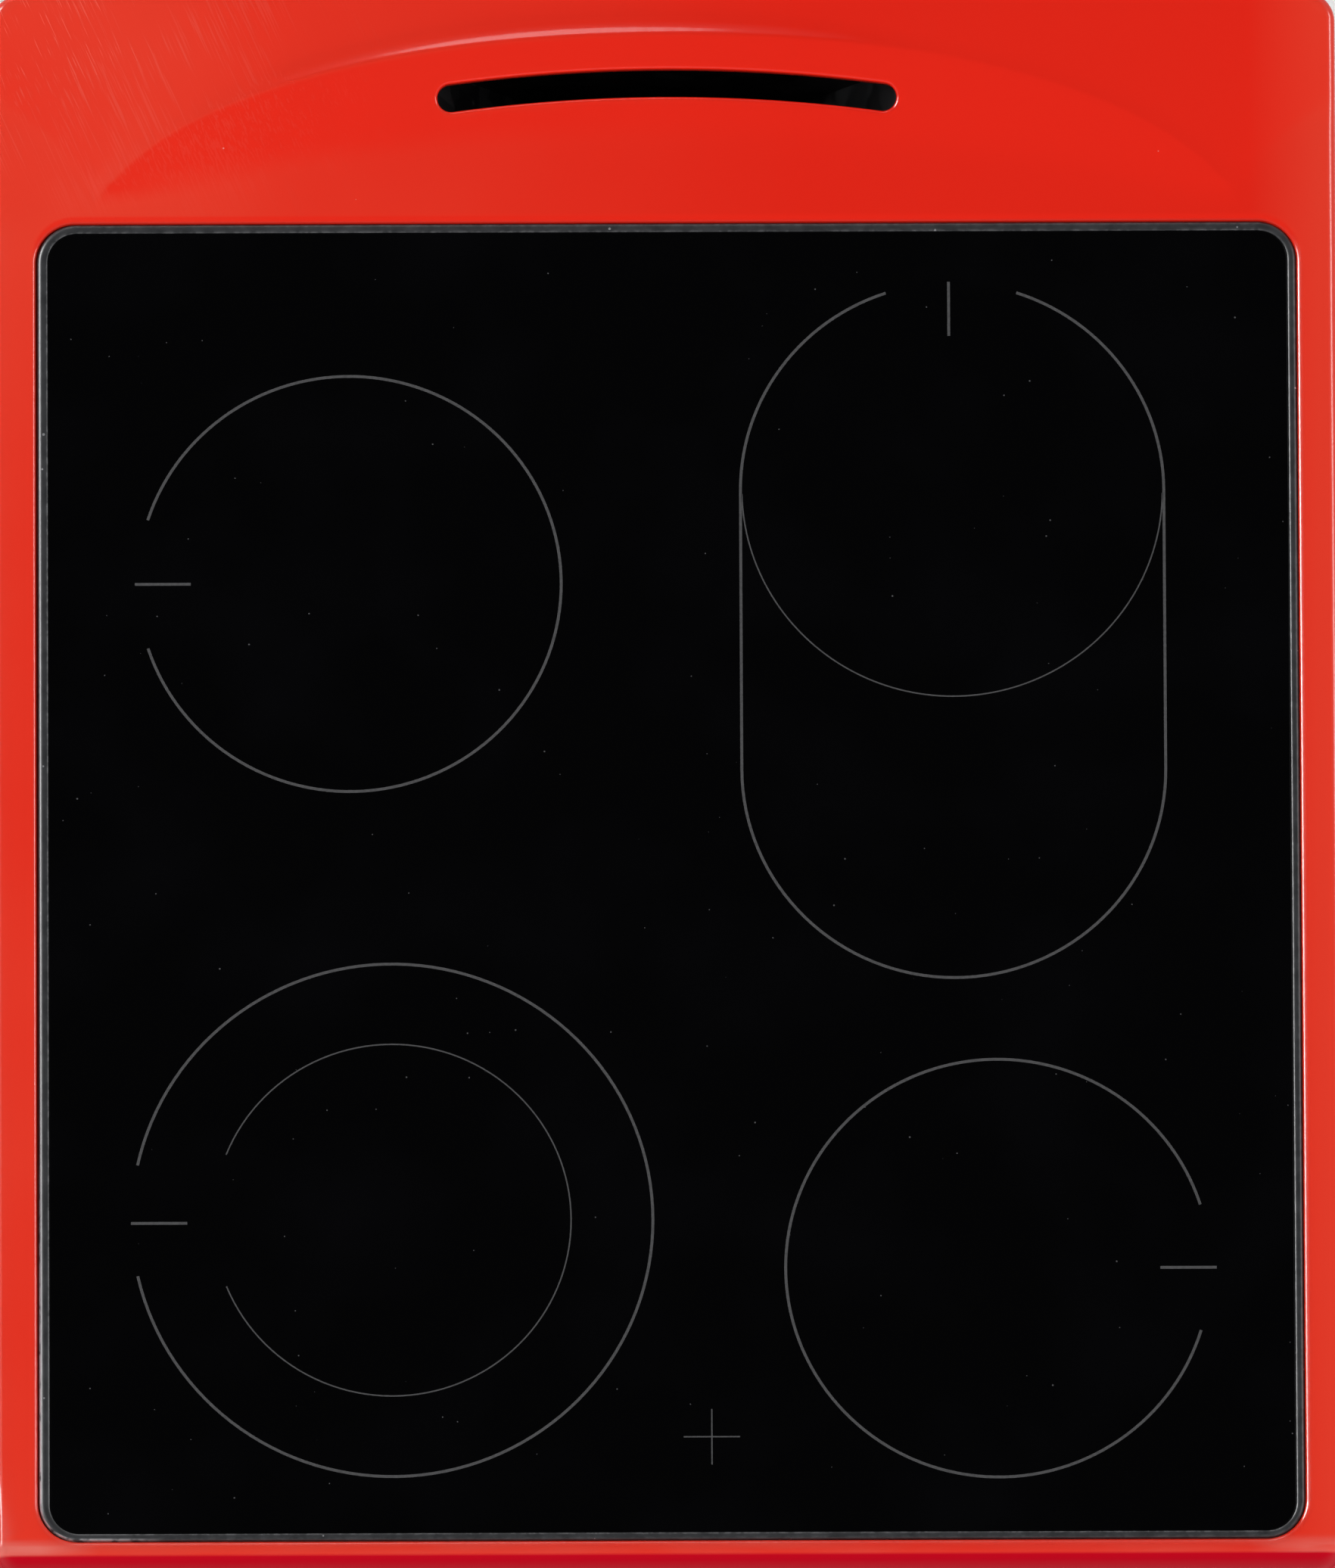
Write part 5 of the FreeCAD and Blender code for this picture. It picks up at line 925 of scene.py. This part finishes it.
knobs = {"rear_left": -180.0, "front_left": -108.0, "oven_mode": -36.0, "oven_heat": 36.0,
         "front_right": 108.0, "rear_right": 180.0}
fasciaPrint = {  # heat and zone have what one step adds, the number of steps and the degrees between them
    "rise": 0.05, "sunk": 0.03, "figure": 4.6, "longFigure": 0.82, "figureAt": 31.5, "tickIn": 26.5,
    "tickOut": 28.2, "line": 0.5, "heat": (50, 5, 54.0), "zone": (1, 6, 50.0), "modeTurn": 45.0,
    "modes": ("lamp", "top bottom", "bottom", "top", "fan", "grill", "grill fan"),
    "symbolUp": 44.0, "symbolWide": 8.0, "symbolHigh": 7.0, "dot": 0.95, "dotAcross": 1.9, "dotUp": 1.6,
    "ringIn": 0.2, "ringLine": 0.25,
}
ovenSymbols = {"frame": 5.2, "thinner": 0.8, "bar": 1.6, "tooth": 0.8, "teeth": (1.8, 1.0), "bulb": 1.5,
               "bulbUp": 0.4, "foot": 0.9, "footDown": 1.9, "blade": 1.1, "fanDown": 0.3}
knobLow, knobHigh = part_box("knob_oven_mode")
knobZ = (knobLow.z + knobHigh.z) / 2 / mm
knobFront = knobLow.y / mm
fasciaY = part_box("control_panel")[0].y / mm


def onFascia(u, v, w):
    return point(u, fasciaY - w, v)


def clock(centre, radius, degrees):  # clockwise from the top, as the user sees it
    return (centre[0] + radius * math.sin(math.radians(degrees)),
            centre[1] + radius * math.cos(math.radians(degrees)))


def frameMark(mesh, x, z, wide, high, line, ink):
    outer, inner = ([(x + u * (wide / 2 - inset), z + v * (high / 2 - inset)) for u, v in square]
                    for inset in (0, line))
    band(mesh, outer, inner, *ink)


def ovenSymbol(mesh, kind, x, z, line, ink):  # bars for heat, a star for the fan, a zigzag for the grill
    look, thin = ovenSymbols, line * ovenSymbols["thinner"]

    def bar(half, up):
        stroke(mesh, (x - half, z + up), (x + half, z + up), line, *ink)

    if kind == "lamp":
        arcBand(mesh, (x, z + look["bulbUp"]), look["bulb"], line, 0, 360, *ink, 24)
        bar(look["foot"], -look["footDown"])
        return
    frameMark(mesh, x, z, look["frame"], look["frame"], thin, ink)
    if "top" in kind:
        bar(look["bar"], look["bar"])
    if "bottom" in kind:
        bar(look["bar"], -look["bar"])
    if "grill" in kind:
        tips = [(x - look["bar"] + step * look["tooth"], z + look["teeth"][step % 2]) for step in range(5)]
        for first, second in zip(tips, tips[1:]):
            stroke(mesh, first, second, thin, *ink)
    if "fan" in kind:
        for angle in (30, 90, 150):
            ends = [clock((x, z - look["fanDown"]), reach, angle) for reach in (-look["blade"], look["blade"])]
            stroke(mesh, *ends, thin, *ink)


def printFascia(marks):
    ink = (onFascia, -marks["sunk"], marks["rise"])
    zoneCorner = {"rear_left": (-1, 1), "front_left": (-1, -1), "front_right": (1, -1), "rear_right": (1, 1)}
    for name, x in knobs.items():
        mesh = bmesh.new()
        places = [("0", 0.0)]
        if name == "oven_mode":
            places += [(kind, marks["modeTurn"] * count) for count, kind in enumerate(marks["modes"], 1)]
        else:
            step, steps, turn = marks["heat" if name == "oven_heat" else "zone"]
            places += [(str(step * count), turn * count) for count in range(1, steps + 1)]
        for words, degrees in places:
            at = clock((x, knobZ), marks["figureAt"], degrees)
            if words.isdigit():
                high = marks["figure"] * (marks["longFigure"] if len(words) > 1 else 1)
                write(mesh, words, at, high, *ink)
            else:
                ovenSymbol(mesh, words, *at, marks["line"], ink)
            ends = [clock((x, knobZ), reach, degrees) for reach in (marks["tickIn"], marks["tickOut"])]
            stroke(mesh, *ends, marks["line"], *ink)
        if name in zoneCorner:
            z = knobZ + marks["symbolUp"]
            frameMark(mesh, x, z, marks["symbolWide"], marks["symbolHigh"], marks["line"], ink)
            for right, up in square:
                dot = (x + right * marks["dotAcross"], z + up * marks["dotUp"])
                if (right, up) == zoneCorner[name]:
                    outline = circle(marks["dot"], 20, dot)
                    stack(mesh, [(outline, ink[2]), (outline, ink[1])], onFascia)
                else:
                    arcBand(mesh, dot, marks["dot"] - marks["ringIn"], marks["ringLine"], 0, 360, *ink, 18)
        finishPiece(mesh, "dial_print_" + name, "carcass", whiteInk, weld=True)


def knobPointers():
    look = {"wide": 1.6, "from": 4.0, "to": 17.0, "rise": 0.06, "sunk": 0.04}
    for name, x in knobs.items():
        mesh = bmesh.new()
        onKnob = lambda u, v, w: point(x + u, knobFront - w, knobZ + v)
        stroke(mesh, (0, look["from"]), (0, look["to"]), look["wide"], onKnob, -look["sunk"], look["rise"])
        finishPiece(mesh, "knob_pointer_" + name, "knob_" + name + "_body", whiteInk)


printFascia(fasciaPrint)
knobPointers()
print("cooker: fascia printed")


# black print behind the door glass

doorPrint = {"behind": 0.02, "thick": 0.12, "edge": 3.0, "corner": 8.0, "window": (-178.0, 178.0, 300.0, 592.0),
             "windowCorner": 16.0}


def printDoor(marks):
    low, high = (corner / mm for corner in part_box("door_outer_glass"))
    behindGlass = lambda u, v, w: point(u, high.y + marks["behind"] + w, v)
    outer = roundedLoop(low.x, high.x, low.z, high.z, marks["corner"], marks["edge"], 12, 12, 6)
    inner = roundedLoop(*marks["window"], marks["windowCorner"], 0.0, 12, 12, 6)
    mesh = bmesh.new()
    band(mesh, outer, inner, behindGlass, 0.0, marks["thick"])
    finishPiece(mesh, "door_glass_print", "oven_door", blackInk)


printDoor(doorPrint)
print("cooker: door glass printed")


# small things a CAD view leaves plain: screws, the oven bulb

def hexagon(size):
    spots = []
    for count in range(24):
        turn = math.radians(15 * count)
        reach = size / math.cos((turn + math.pi / 6) % (math.pi / 3) - math.pi / 6)
        spots.append((reach * math.cos(turn), reach * math.sin(turn)))
    return spots


backScrews = {  # a flanged hexagon head: each layer has its outline, its radius and how far it stands out
    "layers": [(circle, 5.6, -0.3), (circle, 5.6, 0.48), (circle, 5.208, 0.8), (hexagon, 4.2, 0.8),
               (hexagon, 4.2, 2.72), (circle, 3.612, 3.2)],
    "back": 299.3, "columns": (-236.0, 236.0), "rows": (60.0, 240.0, 430.0, 620.0, 800.0)}
ovenBulb = {"x": -168.0, "foot": 166.5, "z": 563.0,
            "layers": [(4.0, -14.0), (6.5, -13.0), (6.5, -3.0), (7.2, -2.0), (9.6, 3.0), (10.4, 6.5), (9.9, 10.0),
                       (7.6, 13.4), (4.2, 15.4), (1.2, 16.0)]}


def fitScrews(look):
    layers = [(outline(size), rise) for outline, size, rise in look["layers"]]
    mesh = bmesh.new()
    for x in look["columns"]:
        for z in look["rows"]:
            stack(mesh, layers, lambda u, v, w: point(x + u, look["back"] + w, z + v))
    finishPiece(mesh, "back_panel_screws", "carcass", finishes["spindle_steel"], 30.0)


def fitBulb(look):  # it stands in the lamp holder and points into the oven
    mesh = bmesh.new()
    stack(mesh, [(circle(radius, 32), rise) for radius, rise in look["layers"]],
          lambda u, v, w: point(look["x"] + u, look["foot"] - w, look["z"] + v))
    finishPiece(mesh, "oven_bulb", "carcass", finishes["clear_glass"], 50.0)


fitScrews(backScrews)
fitBulb(ovenBulb)
print("cooker: screws and bulb fitted")
